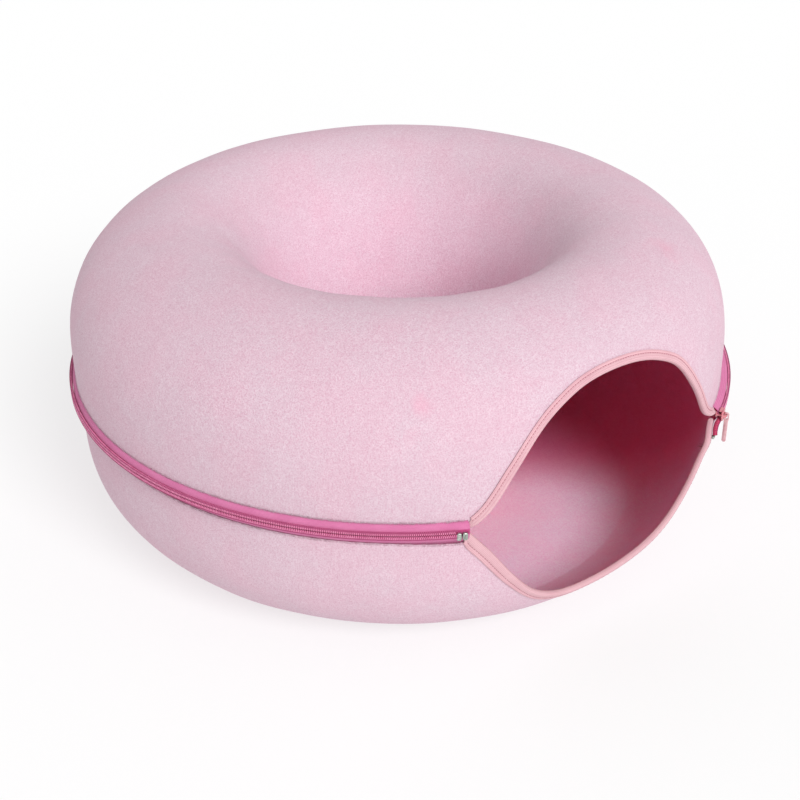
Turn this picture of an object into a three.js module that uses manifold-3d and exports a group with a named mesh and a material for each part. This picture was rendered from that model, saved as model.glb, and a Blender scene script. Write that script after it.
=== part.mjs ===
// A round felt tunnel bed for a cat or a small dog, in millimetres.
// Two moulded felt shells zip together round the outside, and the upper one dips into a well.
// The origin lies on the bed's axis at floor level, +Z points up and the opening faces -Y.
// Angles are in degrees round the axis, from the middle of the opening, and +X is at 90.

import * as THREE from "three";
import Module from "manifold-3d";

const wasm = await Module();
wasm.setup();

// Overall sizes
const OUTER_RADIUS = 300;
const HEIGHT = 280;
const SEAM_HEIGHT = 139;
const FELT = 4;
const GAP = 0.3;

// The felt's outer profile, as rounded quarters between these radii and heights
const WALL_RADIUS = 294;
const CROWN_RADIUS = 200.4;
const WELL_RADIUS = 92.4;
const WELL_FOOT_HEIGHT = 30;
const BASE_RADIUS = 219.2;
const LOWER_WALL_RADIUS = 293;
const WELL_FLOOR_HEIGHT = 2 * FELT + GAP;
const WELL_FILLET = WELL_FOOT_HEIGHT - WELL_FLOOR_HEIGHT;

// The felt's rims, as distances from the seam along the wall
const UPPER_RIM = 8;
const LOWER_RIM = 11;
const RIM_STEP = 0.1;

// Each shell's rows: from its rim or lip to a free distance, and from there to its middle
const UPPER_ROWS = { free: 150, outer: 9, inner: 17 };
const LOWER_ROWS = { free: 118, outer: 8, inner: 3 };

// The lip of the opening: how far its folded edge lies from the seam, along each wall
const LIP = [
  { angle: -27.7, upper: 0.5, lower: 3 },
  { angle: -26.2, upper: 3.5, lower: 12 },
  { angle: -24, upper: 15, lower: 25 },
  { angle: -20, upper: 46, lower: 53 },
  { angle: -16, upper: 72.5, lower: 77 },
  { angle: -12, upper: 88.5, lower: 92 },
  { angle: -7, upper: 99.5, lower: 101.5 },
  { angle: -1, upper: 103.5, lower: 98 },
  { angle: 5, upper: 101, lower: 90.5 },
  { angle: 10, upper: 92.5, lower: 84 },
  { angle: 14, upper: 79, lower: 77 },
  { angle: 18, upper: 51, lower: 64 },
  { angle: 22, upper: 20, lower: 46 },
  { angle: 25, upper: 7, lower: 26 },
  { angle: 28.1, upper: 0.5, lower: 3.5 },
];
const LEFT_CORNER = LIP[0].angle;
const RIGHT_CORNER = LIP[LIP.length - 1].angle;
const LIP_COLUMNS = 26;

// Binding folded over the felt's cut edge
const BINDING = 0.9;
const BINDING_LEG = 8;
const BINDING_END_LEG = 7.5;
const BINDING_CLEARANCE = 0.5;
const BINDING_INNER_CLEARANCE = 0.9;
const BINDING_ROUNDING = { back: 0.25, beside: 0.6, inside: 0.2 };
const BINDING_TURN = 4;
const STEEPEST_LIP = 0.35;

// Zip tapes, the two rows of the coil and the angles where they end
const TAPE = 0.8;
const TAPE_SEAM_ALLOWANCE = 12;
const TAPE_EDGE_RADIUS = 296.8;
const TAPE_BEND = 0.8;
const TAPE_STRIP = 0.3;
const COIL_DEPTH = 2.6;
const COIL_WIDTH = 3.1;
const COIL_BEVEL = 0.8;
const ROW_START = 29.3;
const ROW_CLOSED = 31;
const TAPE_END = 332.1;
const ROW_END = 330.1;
const FULL_TURN = 360;
const ROUND_COLUMNS = 36;

// The lower row's loose end, which passes through the slider and hangs over the lower lip
const LOOSE_END = [
  { angle: 27.3, radius: 296.9, drop: 17 },
  { angle: 27.5, radius: 297.1, drop: 11.5 },
  { angle: 27.9, radius: 297.7, drop: 7 },
  { angle: 28.4, radius: 298.5, drop: 4.2 },
  { angle: 29.2, radius: 298.7, drop: 3.2 },
];

// Slider, pull and stops
const SLIDER_ANGLE = 28.8;
const SLIDER_LENGTH = 10.4;
const SLIDER_HEIGHT = 10;
const SLIDER_PLATE = 1.4;
const SLIDER_TAPER = 0.8;
const SLIDER_CORNER = 1;
const SLIDER_NOSE = { shoulder: 3.4, slope: 1.6, half: 1.4 };
const SLIDER_BACK_DEPTH = 1.1;
const SLIDER_BACK_HEIGHT = 5.4;
const SLIDER_BACK_INSET = { front: 2.2, rear: 0.6 };
const SLIDER_POST = { half: 0.9, rear: -0.5 };
const OVERLAP = 0.4;
const BRIDGE_SPAN = 7;
const BRIDGE_RISE = 2.7;
const BRIDGE_BAR = 1.4;
const BRIDGE_WIDTH = 2.4;
const BRIDGE_LAP = 0.6;
const PULL_LENGTH = 29;
const PULL_WIDTH = 4.6;
const PULL_THICKNESS = 1.7;
const PULL_EYE_WIDTH = 5.2;
const PULL_EYE_HOLE = { width: 2.8, length: 5 };
const PULL_EYE_TOP = 1.5;
const PULL_NECK = { from: 7, to: 10 };
const STOP_SIZE = { along: 4, high: 6.6, deep: 3.1 };
const STOP_ANGLES = { inner: 330.68, outer: 331.55 };
const STOP_DROP = 1.8;
const END_STOP_SIZE = { along: 3.4, high: 2.6, deep: 3 };
const END_STOP_SHIFT = { angle: 0.1, radius: 0.6, drop: 0.5 };
const STOP_BEVEL = 0.8;

// Unevenness of the soft shells: the upper one leans a little
const LEAN = 2.2;
const LEAN_ANGLE = -127.9;
const LEAN_PEAK_HEIGHT = 205;
const LEAN_SPREAD = 52;

// Places where the lower shell's wall is drawn in: how deep, the angle and the height of the
// middle, and how far the hollow spreads each way
const HOLLOWS = [
  { depth: 7.5, angle: 33, angleSpread: 16, height: 62, spread: 38 },
  { depth: 3.5, angle: -128, angleSpread: 26, height: 126, spread: 34 },
];
// A hollow fades out between these radii towards the middle, and below these depths at the zip
const HOLLOW_REACH = { from: 120, to: 210 };
const ZIP_BAND = { from: 3.4, to: 7 };

const radians = THREE.MathUtils.degToRad;
const bell = (value, middle, spread) => Math.exp(-(((value - middle) / spread) ** 2));

// One rounded quarter of a profile: it goes from radius centre + reach to height base + rise
function quarter({ centre, reach, base, rise, across, upward, from = 0, to = 1 }) {
  const points = [];
  const steps = 400;
  for (let i = 0; i <= steps; i++) {
    const turn = (THREE.MathUtils.lerp(from, to, i / steps) * Math.PI) / 2;
    const radius = centre + reach * Math.max(Math.cos(turn), 0) ** (2 / across);
    const height = base + rise * Math.max(Math.sin(turn), 0) ** (2 / upward);
    points.push(new THREE.Vector2(radius, height));
  }
  return points;
}

// A profile measured along its length, with the direction in which the felt faces
class Profile {
  constructor(points, facing) {
    this.points = points;
    this.facing = facing;
    this.lengths = [0];
    for (let i = 1; i < points.length; i++) {
      this.lengths.push(this.lengths[i - 1] + points[i].distanceTo(points[i - 1]));
    }
    this.length = this.lengths[points.length - 1];
  }

  point(distance) {
    const wanted = THREE.MathUtils.clamp(distance, 0, this.length);
    let next = this.lengths.findIndex((length) => length >= wanted);
    next = Math.max(next, 1);
    const start = this.lengths[next - 1];
    const share = (wanted - start) / (this.lengths[next] - start);
    return this.points[next - 1].clone().lerp(this.points[next], share);
  }

  normal(distance) {
    const reach = 3;
    const along = this.point(distance + reach).sub(this.point(distance - reach)).normalize();
    return new THREE.Vector2(along.y, -along.x).multiplyScalar(this.facing);
  }
}

const upperWall = {
  centre: CROWN_RADIUS,
  reach: WALL_RADIUS - CROWN_RADIUS,
  base: SEAM_HEIGHT,
  rise: HEIGHT - SEAM_HEIGHT,
  across: 1.61,
  upward: 3.376,
};
const wellWall = {
  centre: CROWN_RADIUS,
  reach: WELL_RADIUS - CROWN_RADIUS,
  base: WELL_FOOT_HEIGHT,
  rise: HEIGHT - WELL_FOOT_HEIGHT,
  across: 2.407,
  upward: 2.472,
  from: 1,
  to: 0,
};
const wellFillet = {
  centre: WELL_RADIUS - WELL_FILLET,
  reach: WELL_FILLET,
  base: WELL_FOOT_HEIGHT,
  rise: -WELL_FILLET,
  across: 2,
  upward: 2,
};
const lowerWall = {
  centre: BASE_RADIUS,
  reach: LOWER_WALL_RADIUS - BASE_RADIUS,
  base: SEAM_HEIGHT,
  rise: -SEAM_HEIGHT,
  across: 1.106,
  upward: 3.684,
};

const wellPoints = quarter(wellWall).slice(1);
const filletPoints = quarter(wellFillet).slice(1);
const upperProfile = new Profile([...quarter(upperWall), ...wellPoints, ...filletPoints], 1);
const lowerProfile = new Profile(quarter(lowerWall), -1);

// How far the lower wall is drawn in at a point; the zip's rows and the middle keep their places
function hollowDepth(point, radius) {
  const angle = THREE.MathUtils.radToDeg(Math.atan2(point.x, -point.y));
  let depth = 0;
  for (const hollow of HOLLOWS) {
    const across = bell(angle, hollow.angle, hollow.angleSpread);
    depth += hollow.depth * across * bell(point.z, hollow.height, hollow.spread);
  }
  depth *= THREE.MathUtils.smoothstep(SEAM_HEIGHT - point.z, ZIP_BAND.from, ZIP_BAND.to);
  return depth * THREE.MathUtils.smoothstep(radius, HOLLOW_REACH.from, HOLLOW_REACH.to);
}

// The whole bed's unevenness, applied to every soft piece alike
function settle(point) {
  const above = THREE.MathUtils.smoothstep(point.z, SEAM_HEIGHT, LEAN_PEAK_HEIGHT);
  const lean = LEAN * above * bell(Math.max(point.z, LEAN_PEAK_HEIGHT), LEAN_PEAK_HEIGHT, LEAN_SPREAD);
  point.x += lean * Math.sin(radians(LEAN_ANGLE));
  point.y -= lean * Math.cos(radians(LEAN_ANGLE));
  const radius = Math.hypot(point.x, point.y);
  const inward = hollowDepth(point, radius);
  if (inward > 0) {
    point.x *= (radius - inward) / radius;
    point.y *= (radius - inward) / radius;
  }
  return point;
}

// A place in the bed, from its angle, radius and height
function place(angle, radius, height) {
  const turn = radians(angle);
  return settle(new THREE.Vector3(radius * Math.sin(turn), -radius * Math.cos(turn), height));
}

// A place on a felt wall: a distance from the seam, and a height above the felt's outer face
function onWall(profile, angle, distance, outward) {
  const point = profile.point(distance);
  point.addScaledVector(profile.normal(distance), outward);
  return place(angle, point.x, point.y);
}

// A closed mesh from points and faces of three or four corners, turned to face outwards
function closedGeometry(points, faces) {
  const triangles = [];
  for (const face of faces) {
    for (let i = 2; i < face.length; i++) triangles.push([face[0], face[i - 1], face[i]]);
  }
  let volume = 0;
  for (const [a, b, c] of triangles) {
    volume += points[a].dot(new THREE.Vector3().crossVectors(points[b], points[c]));
  }
  if (volume < 0) triangles.forEach((triangle) => triangle.reverse());
  const geometry = new THREE.BufferGeometry().setFromPoints(points);
  geometry.setIndex(triangles.flat());
  return geometry;
}

// A solid swept through a list of sections, each a ring with the same number of points
function sweepGeometry(sections) {
  const points = sections.flat();
  const sides = sections[0].length;
  const last = (sections.length - 1) * sides;
  const faces = [];
  for (let i = 0; i < sections.length - 1; i++) {
    for (let j = 0; j < sides; j++) {
      const near = i * sides + j;
      const nearNext = i * sides + ((j + 1) % sides);
      faces.push([near, nearNext, nearNext + sides, near + sides]);
    }
  }
  const triangles = THREE.ShapeUtils.triangulateShape(flatten(sections[0]), []);
  const endTriangles = THREE.ShapeUtils.triangulateShape(flatten(sections[sections.length - 1]), []);
  triangles.forEach(([a, b, c]) => faces.push([c, b, a]));
  endTriangles.forEach(([a, b, c]) => faces.push([last + a, last + b, last + c]));
  return closedGeometry(points, faces);
}

// A ring of points in space as a flat outline in its own plane
function flatten(ring) {
  const middle = new THREE.Vector3();
  ring.forEach((point) => middle.addScaledVector(point, 1 / ring.length));
  const normal = new THREE.Vector3();
  ring.forEach((point, i) => {
    const next = ring[(i + 1) % ring.length].clone().sub(middle);
    normal.add(point.clone().sub(middle).cross(next));
  });
  normal.normalize();
  const right = ring[0].clone().sub(middle).projectOnPlane(normal).normalize();
  const up = new THREE.Vector3().crossVectors(normal, right);
  return ring.map((point) => {
    const offset = point.clone().sub(middle);
    return new THREE.Vector2(offset.dot(right), offset.dot(up));
  });
}

// A smooth curve through the rows of the lip's table
function lipDistance(side, angle) {
  let next = LIP.findIndex((row) => row.angle >= angle);
  if (next < 0) next = LIP.length - 1;
  next = Math.max(next, 1);
  const slope = (i) => {
    const before = LIP[Math.max(i - 1, 0)];
    const after = LIP[Math.min(i + 1, LIP.length - 1)];
    return (after[side] - before[side]) / (after.angle - before.angle);
  };
  const from = LIP[next - 1];
  const to = LIP[next];
  const width = to.angle - from.angle;
  const share = (angle - from.angle) / width;
  const blend = share * share * (3 - 2 * share);
  const leaving = share * (1 - share) ** 2 * slope(next - 1) * width;
  const arriving = share ** 2 * (share - 1) * slope(next) * width;
  return THREE.MathUtils.lerp(from[side], to[side], blend) + leaving + arriving;
}

// The angles of the columns: across the opening, and the long way round outside it
const lipAngles = [];
for (let i = 0; i <= LIP_COLUMNS; i++) {
  lipAngles.push(THREE.MathUtils.lerp(LEFT_CORNER, RIGHT_CORNER, i / LIP_COLUMNS));
}
const roundAngles = [ROW_START];
for (let i = 0; i <= ROUND_COLUMNS; i++) {
  roundAngles.push(THREE.MathUtils.lerp(ROW_CLOSED, ROW_END, i / ROUND_COLUMNS));
}
const rimStart = RIGHT_CORNER + RIM_STEP;
const rimEnd = FULL_TURN + LEFT_CORNER - RIM_STEP;
const rimAngles = [rimStart, ...roundAngles, TAPE_END, rimEnd];

// How far the felt's cut edge lies inside the binding's fold, measured along the wall
function cutDistance(side, angle) {
  const profile = side === "upper" ? upperProfile : lowerProfile;
  const distance = lipDistance(side, angle);
  const { across } = lipDirection(side, profile, angle);
  const fold = BINDING + BINDING_CLEARANCE;
  return distance + fold / Math.max(across, STEEPEST_LIP);
}

// The lip's direction at an angle, as millimetres round the wall and along it
function lipDirection(side, profile, angle) {
  const reach = 0.4;
  const from = Math.max(angle - reach, LEFT_CORNER);
  const to = Math.min(angle + reach, RIGHT_CORNER);
  const radius = profile.point(lipDistance(side, angle)).x;
  const across = radius * radians(to - from);
  const along = lipDistance(side, to) - lipDistance(side, from);
  const length = Math.hypot(across, along);
  return { across: across / length, along: along / length };
}

// A felt shell: columns round the axis and rows from its rim to its middle
function feltShell(side, profile, rim, { free, outer, inner }, middleHeight) {
  const columns = [
    ...lipAngles.map((angle) => ({ angle, edge: cutDistance(side, angle) })),
    ...rimAngles.map((angle) => ({ angle, edge: rim })),
  ];
  const points = [];
  const faces = [];
  const count = columns.length;
  const rows = outer + inner;
  for (const depth of [0, -FELT]) {
    for (let row = 0; row <= rows; row++) {
      for (const { angle, edge } of columns) {
        const onTheWall = THREE.MathUtils.lerp(edge, free, row / outer);
        const beyond = THREE.MathUtils.lerp(free, profile.length, (row - outer) / inner);
        points.push(onWall(profile, angle, row <= outer ? onTheWall : beyond, depth));
      }
    }
  }
  const sheet = (rows + 1) * count;
  for (let row = 0; row < rows; row++) {
    for (let i = 0; i < count; i++) {
      const next = (i + 1) % count;
      const near = row * count;
      const far = near + count;
      faces.push([near + i, near + next, far + next, far + i]);
      faces.push([sheet + far + i, sheet + far + next, sheet + near + next, sheet + near + i]);
    }
  }
  const outerMiddle = points.length;
  const innerMiddle = outerMiddle + 1;
  const facing = profile.facing;
  points.push(new THREE.Vector3(0, 0, middleHeight));
  points.push(new THREE.Vector3(0, 0, middleHeight - facing * FELT));
  for (let i = 0; i < count; i++) {
    const next = (i + 1) % count;
    const last = rows * count;
    faces.push([last + i, last + next, outerMiddle]);
    faces.push([sheet + last + next, sheet + last + i, innerMiddle]);
    faces.push([sheet + i, sheet + next, next, i]);
  }
  return closedGeometry(points, faces);
}

// A zip tape: from its seam inside the felt it slants out under the rim to the row's back
function tapeGeometry(side, profile, rim) {
  const up = side === "upper" ? 1 : -1;
  const inside = profile.point(rim).x - FELT - GAP - TAPE / 2;
  const path = [
    new THREE.Vector2(inside, SEAM_HEIGHT + up * (rim + TAPE_SEAM_ALLOWANCE)),
    new THREE.Vector2(inside, SEAM_HEIGHT + up * (rim - TAPE_BEND)),
    new THREE.Vector2(TAPE_EDGE_RADIUS, SEAM_HEIGHT + up * (COIL_WIDTH + TAPE_STRIP)),
    new THREE.Vector2(TAPE_EDGE_RADIUS, SEAM_HEIGHT + up * GAP),
  ];
  const outline = thicken(path, TAPE);
  const angles = [...roundAngles, TAPE_END];
  const sections = angles.map((angle) => outline.map((p) => place(angle, p.x, p.y)));
  return sweepGeometry(sections);
}

// An open path in a flat plane, thickened into a closed outline
function thicken(path, thickness) {
  const sideways = (from, to) => {
    const along = to.clone().sub(from).normalize();
    return new THREE.Vector2(along.y, -along.x);
  };
  const offsets = path.map((point, i) => {
    const before = i > 0 ? sideways(path[i - 1], point) : sideways(point, path[i + 1]);
    const after = i < path.length - 1 ? sideways(point, path[i + 1]) : before;
    const middle = before.clone().add(after).normalize();
    return middle.multiplyScalar(thickness / 2 / middle.dot(before));
  });
  const right = path.map((point, i) => point.clone().add(offsets[i]));
  const left = path.map((point, i) => point.clone().sub(offsets[i]));
  return [...right, ...left.reverse()];
}

// A row's rounded section round a middle point: its depth is radial and its width is upright
function rowSection(angle, radius, height) {
  const bevel = COIL_BEVEL;
  const deep = COIL_DEPTH / 2;
  const wide = COIL_WIDTH / 2;
  const outline = [
    [-deep, -wide],
    [deep - bevel, -wide],
    [deep, bevel - wide],
    [deep, wide - bevel],
    [deep - bevel, wide],
    [-deep, wide],
  ];
  return outline.map(([out, up]) => place(angle, radius + out, height + up));
}

function coilGeometry(side) {
  const up = side === "upper" ? 1 : -1;
  const radius = OUTER_RADIUS - COIL_DEPTH / 2;
  const height = SEAM_HEIGHT + up * (GAP / 2 + COIL_WIDTH / 2);
  const sections = roundAngles.map((angle) => rowSection(angle, radius, height));
  if (side === "upper") return sweepGeometry(sections);
  const loose = LOOSE_END.map((row) => looseSection(row));
  return sweepGeometry([...loose, ...sections.slice(1)]);
}

// A section of the loose end, turned to follow the end's way down
function looseSection(row) {
  const i = LOOSE_END.indexOf(row);
  const before = LOOSE_END[Math.max(i - 1, 0)];
  const after = LOOSE_END[Math.min(i + 1, LOOSE_END.length - 1)];
  const along = OUTER_RADIUS * radians(after.angle - before.angle);
  const tilt = Math.atan2(before.drop - after.drop, along);
  const level = rowSection(row.angle, row.radius, SEAM_HEIGHT - row.drop);
  const middle = place(row.angle, row.radius, SEAM_HEIGHT - row.drop);
  const outward = place(row.angle, row.radius + 1, SEAM_HEIGHT - row.drop).sub(middle).normalize();
  return level.map((point) => point.sub(middle).applyAxisAngle(outward, tilt).add(middle));
}

// A binding: a tape folded over the felt's cut edge, its two legs lying on the felt's faces
function bindingGeometry(side, profile) {
  const outer = BINDING_CLEARANCE;
  const inner = -FELT - BINDING_INNER_CLEARANCE;
  const { back, beside, inside } = BINDING_ROUNDING;
  const sections = lipAngles.map((angle) => {
    const fromCorner = Math.min(angle - LEFT_CORNER, RIGHT_CORNER - angle);
    const turned = 1 - THREE.MathUtils.smoothstep(fromCorner, 0, BINDING_TURN);
    const leg = THREE.MathUtils.lerp(BINDING_LEG, BINDING_END_LEG, turned);
    const { across, along } = lipDirection(side, profile, angle);
    const into = new THREE.Vector2(-along, across).lerp(new THREE.Vector2(0, 1), turned).normalize();
    const outline = [
      [leg, outer + BINDING],
      [BINDING, outer + BINDING],
      [back, -beside],
      [0, inner / 2],
      [back, beside - FELT],
      [BINDING, inner - BINDING],
      [leg, inner - BINDING],
      [leg, inner],
      [BINDING + inside, inner],
      [BINDING, inner / 2],
      [BINDING + inside, outer],
      [leg, outer],
    ];
    const start = lipDistance(side, angle);
    const radius = profile.point(start).x;
    return outline.map(([inward, outward]) => {
      const distance = start + into.y * inward;
      const turn = THREE.MathUtils.radToDeg((into.x * inward) / radius);
      return onWall(profile, angle + turn, distance, outward);
    });
  });
  return sweepGeometry(sections);
}

// Solids that are joined into one piece
function toSolid(geometry) {
  const merged = new Map();
  const flat = geometry.index ? geometry.toNonIndexed() : geometry;
  const source = flat.getAttribute("position");
  const positions = [];
  const triangles = [];
  for (let i = 0; i < source.count; i++) {
    const corner = [source.getX(i), source.getY(i), source.getZ(i)];
    const key = corner.map((value) => value.toFixed(4)).join();
    if (!merged.has(key)) {
      merged.set(key, merged.size);
      positions.push(...corner);
    }
    triangles.push(merged.get(key));
  }
  const vertProperties = new Float32Array(positions);
  const triVerts = new Uint32Array(triangles);
  return new wasm.Manifold(new wasm.Mesh({ numProp: 3, vertProperties, triVerts }));
}

function joined(geometries) {
  const solid = geometries.map(toSolid).reduce((whole, piece) => whole.add(piece));
  return fromSolid(solid);
}

function fromSolid(solid) {
  const { vertProperties, triVerts } = solid.getMesh();
  const geometry = new THREE.BufferGeometry();
  geometry.setAttribute("position", new THREE.BufferAttribute(vertProperties, 3));
  geometry.setIndex(new THREE.BufferAttribute(triVerts, 1));
  return geometry;
}

// A flat outline extruded along z, from one level to another
function plate(outline, low, high) {
  const shape = new THREE.Shape(outline.map(([x, y]) => new THREE.Vector2(x, y)));
  const geometry = new THREE.ExtrudeGeometry(shape, { depth: high - low, bevelEnabled: false });
  return geometry.translate(0, 0, low);
}

// A box from its low corner to its high corner
function block(low, high) {
  const size = high.map((value, i) => value - low[i]);
  const middle = high.map((value, i) => (value + low[i]) / 2);
  return new THREE.BoxGeometry(...size).translate(...middle);
}

// The slider in its own frame: x along the closed zip, y up and z out from the wall.
// Its level z = 0 is the outer face of the zip's rows.
function sliderGeometry() {
  const rear = SLIDER_LENGTH / 2;
  const front = -SLIDER_LENGTH / 2;
  const rearHalf = SLIDER_HEIGHT / 2 - SLIDER_TAPER;
  const frontHalf = SLIDER_HEIGHT / 2;
  const corner = SLIDER_CORNER;
  const nose = SLIDER_NOSE;
  const low = GAP;
  const high = GAP + SLIDER_PLATE;
  const outline = [
    [rear, corner - rearHalf],
    [rear, rearHalf - corner],
    [rear - corner, rearHalf],
    [front + nose.shoulder, frontHalf],
    [front + corner, frontHalf - nose.slope],
    [front, nose.half],
    [front, -nose.half],
    [front + corner, nose.slope - frontHalf],
    [front + nose.shoulder, -frontHalf],
    [rear - corner, -rearHalf],
  ];
  const backHigh = TAPE_EDGE_RADIUS - TAPE / 2 - GAP - OUTER_RADIUS;
  const backLow = backHigh - SLIDER_BACK_DEPTH;
  const backHalf = SLIDER_BACK_HEIGHT / 2;
  const backFront = front + SLIDER_BACK_INSET.front;
  const backRear = rear - SLIDER_BACK_INSET.rear;
  const back = block([backFront, -backHalf, backLow], [backRear, backHalf, backHigh]);
  const { half, rear: postRear } = SLIDER_POST;
  const post = block([backFront, -half, backLow + OVERLAP], [postRear, half, high - OVERLAP]);
  const bar = high + BRIDGE_RISE;
  const width = BRIDGE_WIDTH / 2;
  const end = BRIDGE_SPAN / 2;
  const legs = [-end, end - BRIDGE_BAR].map((start) =>
    block([start, -width, high - OVERLAP], [start + BRIDGE_BAR, width, bar + BRIDGE_LAP]),
  );
  const bridge = block([OVERLAP - end, -width, bar], [end - OVERLAP, width, bar + BRIDGE_BAR]);
  return joined([plate(outline, low, high), back, post, ...legs, bridge]);
}

// The pull hangs on the bridge by its eye: z out from the wall is its width, x its thickness
function pullGeometry() {
  const barTop = BRIDGE_WIDTH / 2;
  const barMiddle = GAP + SLIDER_PLATE + BRIDGE_RISE + BRIDGE_BAR / 2;
  const eyeTop = barTop + GAP + PULL_EYE_TOP;
  const half = PULL_WIDTH / 2;
  const eyeHalf = PULL_EYE_WIDTH / 2;
  const bottom = eyeTop - PULL_LENGTH;
  const shape = new THREE.Shape();
  shape.absarc(0, eyeTop - eyeHalf, eyeHalf, Math.PI, 0, true);
  shape.lineTo(eyeHalf, eyeTop - PULL_NECK.from);
  shape.lineTo(half, eyeTop - PULL_NECK.to);
  shape.absarc(0, bottom + half, half, 0, -Math.PI, true);
  shape.lineTo(-half, eyeTop - PULL_NECK.to);
  shape.lineTo(-eyeHalf, eyeTop - PULL_NECK.from);
  const settings = { depth: PULL_THICKNESS, bevelEnabled: false, curveSegments: 8 };
  const tab = new THREE.ExtrudeGeometry(shape, settings);
  const holeHalf = PULL_EYE_HOLE.width / 2;
  const holeTop = barTop + GAP;
  const holeLow = [-holeHalf, holeTop - PULL_EYE_HOLE.length, -1];
  const hole = block(holeLow, [holeHalf, holeTop, PULL_THICKNESS + 1]);
  const geometry = fromSolid(toSolid(tab).subtract(toSolid(hole)));
  geometry.translate(0, 0, -PULL_THICKNESS / 2);
  geometry.rotateY(-Math.PI / 2);
  return geometry.translate(0, 0, barMiddle);
}

// A small clamp of metal, with its upright edges bevelled
function stopGeometry({ along, high, deep }) {
  const half = along / 2;
  const outline = [
    [-half, 0],
    [half, 0],
    [half, deep - STOP_BEVEL],
    [half - STOP_BEVEL, deep],
    [STOP_BEVEL - half, deep],
    [-half, deep - STOP_BEVEL],
  ];
  return plate(outline, -high / 2, high / 2).rotateX(Math.PI / 2);
}

// Materials, with the colours that the felt, the tapes and the metal have
const material = (color, roughness, metalness = 0) =>
  new THREE.MeshStandardMaterial({ color, roughness, metalness });
const feltPink = material(0xe6c4d4, 0.95);
const tapePink = material(0xde7fb0, 0.8);
const coilPink = material(0xd977a6, 0.55);
const bindingPink = material(0xf0bfc8, 0.85);
const sliderPink = material(0xe89aa8, 0.4);
const stopMetal = material(0xb9c0bd, 0.3, 1);

const bed = new THREE.Group();
bed.name = "pet_tunnel_bed";

function add(name, geometry, itsMaterial, parent = bed) {
  const mesh = new THREE.Mesh(geometry, itsMaterial);
  mesh.name = name;
  parent.add(mesh);
  return mesh;
}

// A group on the zip at an angle, with x along it, y up and z out from the wall
function onZip(angle, radius, drop = 0) {
  const turn = radians(angle);
  const along = new THREE.Vector3(Math.cos(turn), Math.sin(turn), 0);
  const up = new THREE.Vector3(0, 0, 1);
  const out = new THREE.Vector3(Math.sin(turn), -Math.cos(turn), 0);
  const group = new THREE.Group();
  group.quaternion.setFromRotationMatrix(new THREE.Matrix4().makeBasis(along, up, out));
  group.position.copy(out).multiplyScalar(radius).setZ(SEAM_HEIGHT - drop);
  bed.add(group);
  return group;
}

// The two felt shells
const upperFelt = feltShell("upper", upperProfile, UPPER_RIM, UPPER_ROWS, WELL_FLOOR_HEIGHT);
const lowerFelt = feltShell("lower", lowerProfile, LOWER_RIM, LOWER_ROWS, 0);
add("upper_shell", upperFelt, feltPink);
add("lower_shell", lowerFelt, feltPink);

// The zip round the seam
add("zip_tape_upper", tapeGeometry("upper", upperProfile, UPPER_RIM), tapePink);
add("zip_tape_lower", tapeGeometry("lower", lowerProfile, LOWER_RIM), tapePink);
add("zip_coil_upper", coilGeometry("upper"), coilPink);
add("zip_coil_lower", coilGeometry("lower"), coilPink);

// The bound lips of the opening
add("binding_upper", bindingGeometry("upper", upperProfile), bindingPink);
add("binding_lower", bindingGeometry("lower", lowerProfile), bindingPink);

// The slider with its pull, and the stops
const sliderPlace = onZip(SLIDER_ANGLE, OUTER_RADIUS);
add("slider", sliderGeometry(), sliderPink, sliderPlace);
add("pull", pullGeometry(), sliderPink, sliderPlace);
const stopRadius = TAPE_EDGE_RADIUS + TAPE / 2 + GAP;
for (const [name, angle] of Object.entries(STOP_ANGLES)) {
  const stopPlace = onZip(angle, stopRadius, STOP_DROP);
  add(`stop_${name}`, stopGeometry(STOP_SIZE), stopMetal, stopPlace);
}
const rowEnd = LOOSE_END[0];
const endAngle = rowEnd.angle - END_STOP_SHIFT.angle;
const endRadius = rowEnd.radius - END_STOP_SIZE.deep / 2 - END_STOP_SHIFT.radius;
const endDrop = rowEnd.drop + GAP + END_STOP_SIZE.high / 2 + END_STOP_SHIFT.drop;
const endPlace = onZip(endAngle, endRadius, endDrop);
add("stop_open_end", stopGeometry(END_STOP_SIZE), stopMetal, endPlace);

export default bed;
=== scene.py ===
"""The looks of a round felt tunnel bed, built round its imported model.

Lengths in the tables and functions are millimetres and angles are degrees, as in the part's
source; points become metres where a mesh is made.
"""

import math

import bmesh
import bpy
import numpy as np
from mathutils import Matrix, Vector


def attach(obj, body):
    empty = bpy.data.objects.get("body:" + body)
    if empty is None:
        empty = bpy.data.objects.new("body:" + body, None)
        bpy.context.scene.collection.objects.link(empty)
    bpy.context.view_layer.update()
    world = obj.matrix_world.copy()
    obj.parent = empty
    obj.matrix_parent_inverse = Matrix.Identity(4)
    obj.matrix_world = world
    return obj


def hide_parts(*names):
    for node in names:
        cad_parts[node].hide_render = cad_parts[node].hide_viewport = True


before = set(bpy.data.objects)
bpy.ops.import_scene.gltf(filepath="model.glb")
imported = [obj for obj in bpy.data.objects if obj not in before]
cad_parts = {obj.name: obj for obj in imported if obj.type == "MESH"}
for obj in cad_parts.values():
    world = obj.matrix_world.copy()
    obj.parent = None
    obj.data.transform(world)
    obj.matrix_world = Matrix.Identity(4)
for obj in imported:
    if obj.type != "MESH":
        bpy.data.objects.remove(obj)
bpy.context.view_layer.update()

MM = 0.001
FULL_TURN = 360

# Overall sizes of the part
OUTER_RADIUS = 300
HEIGHT = 280
SEAM_HEIGHT = 139
FELT = 4
GAP = 0.3
WALL_RADIUS = 294
CROWN_RADIUS = 200.4
WELL_RADIUS = 92.4
WELL_FOOT_HEIGHT = 30
BASE_RADIUS = 219.2
LOWER_WALL_RADIUS = 293
WELL_FLOOR_HEIGHT = 2 * FELT + GAP
WELL_FILLET = WELL_FOOT_HEIGHT - WELL_FLOOR_HEIGHT
RIM = {"upper": 8, "lower": 11}

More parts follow.
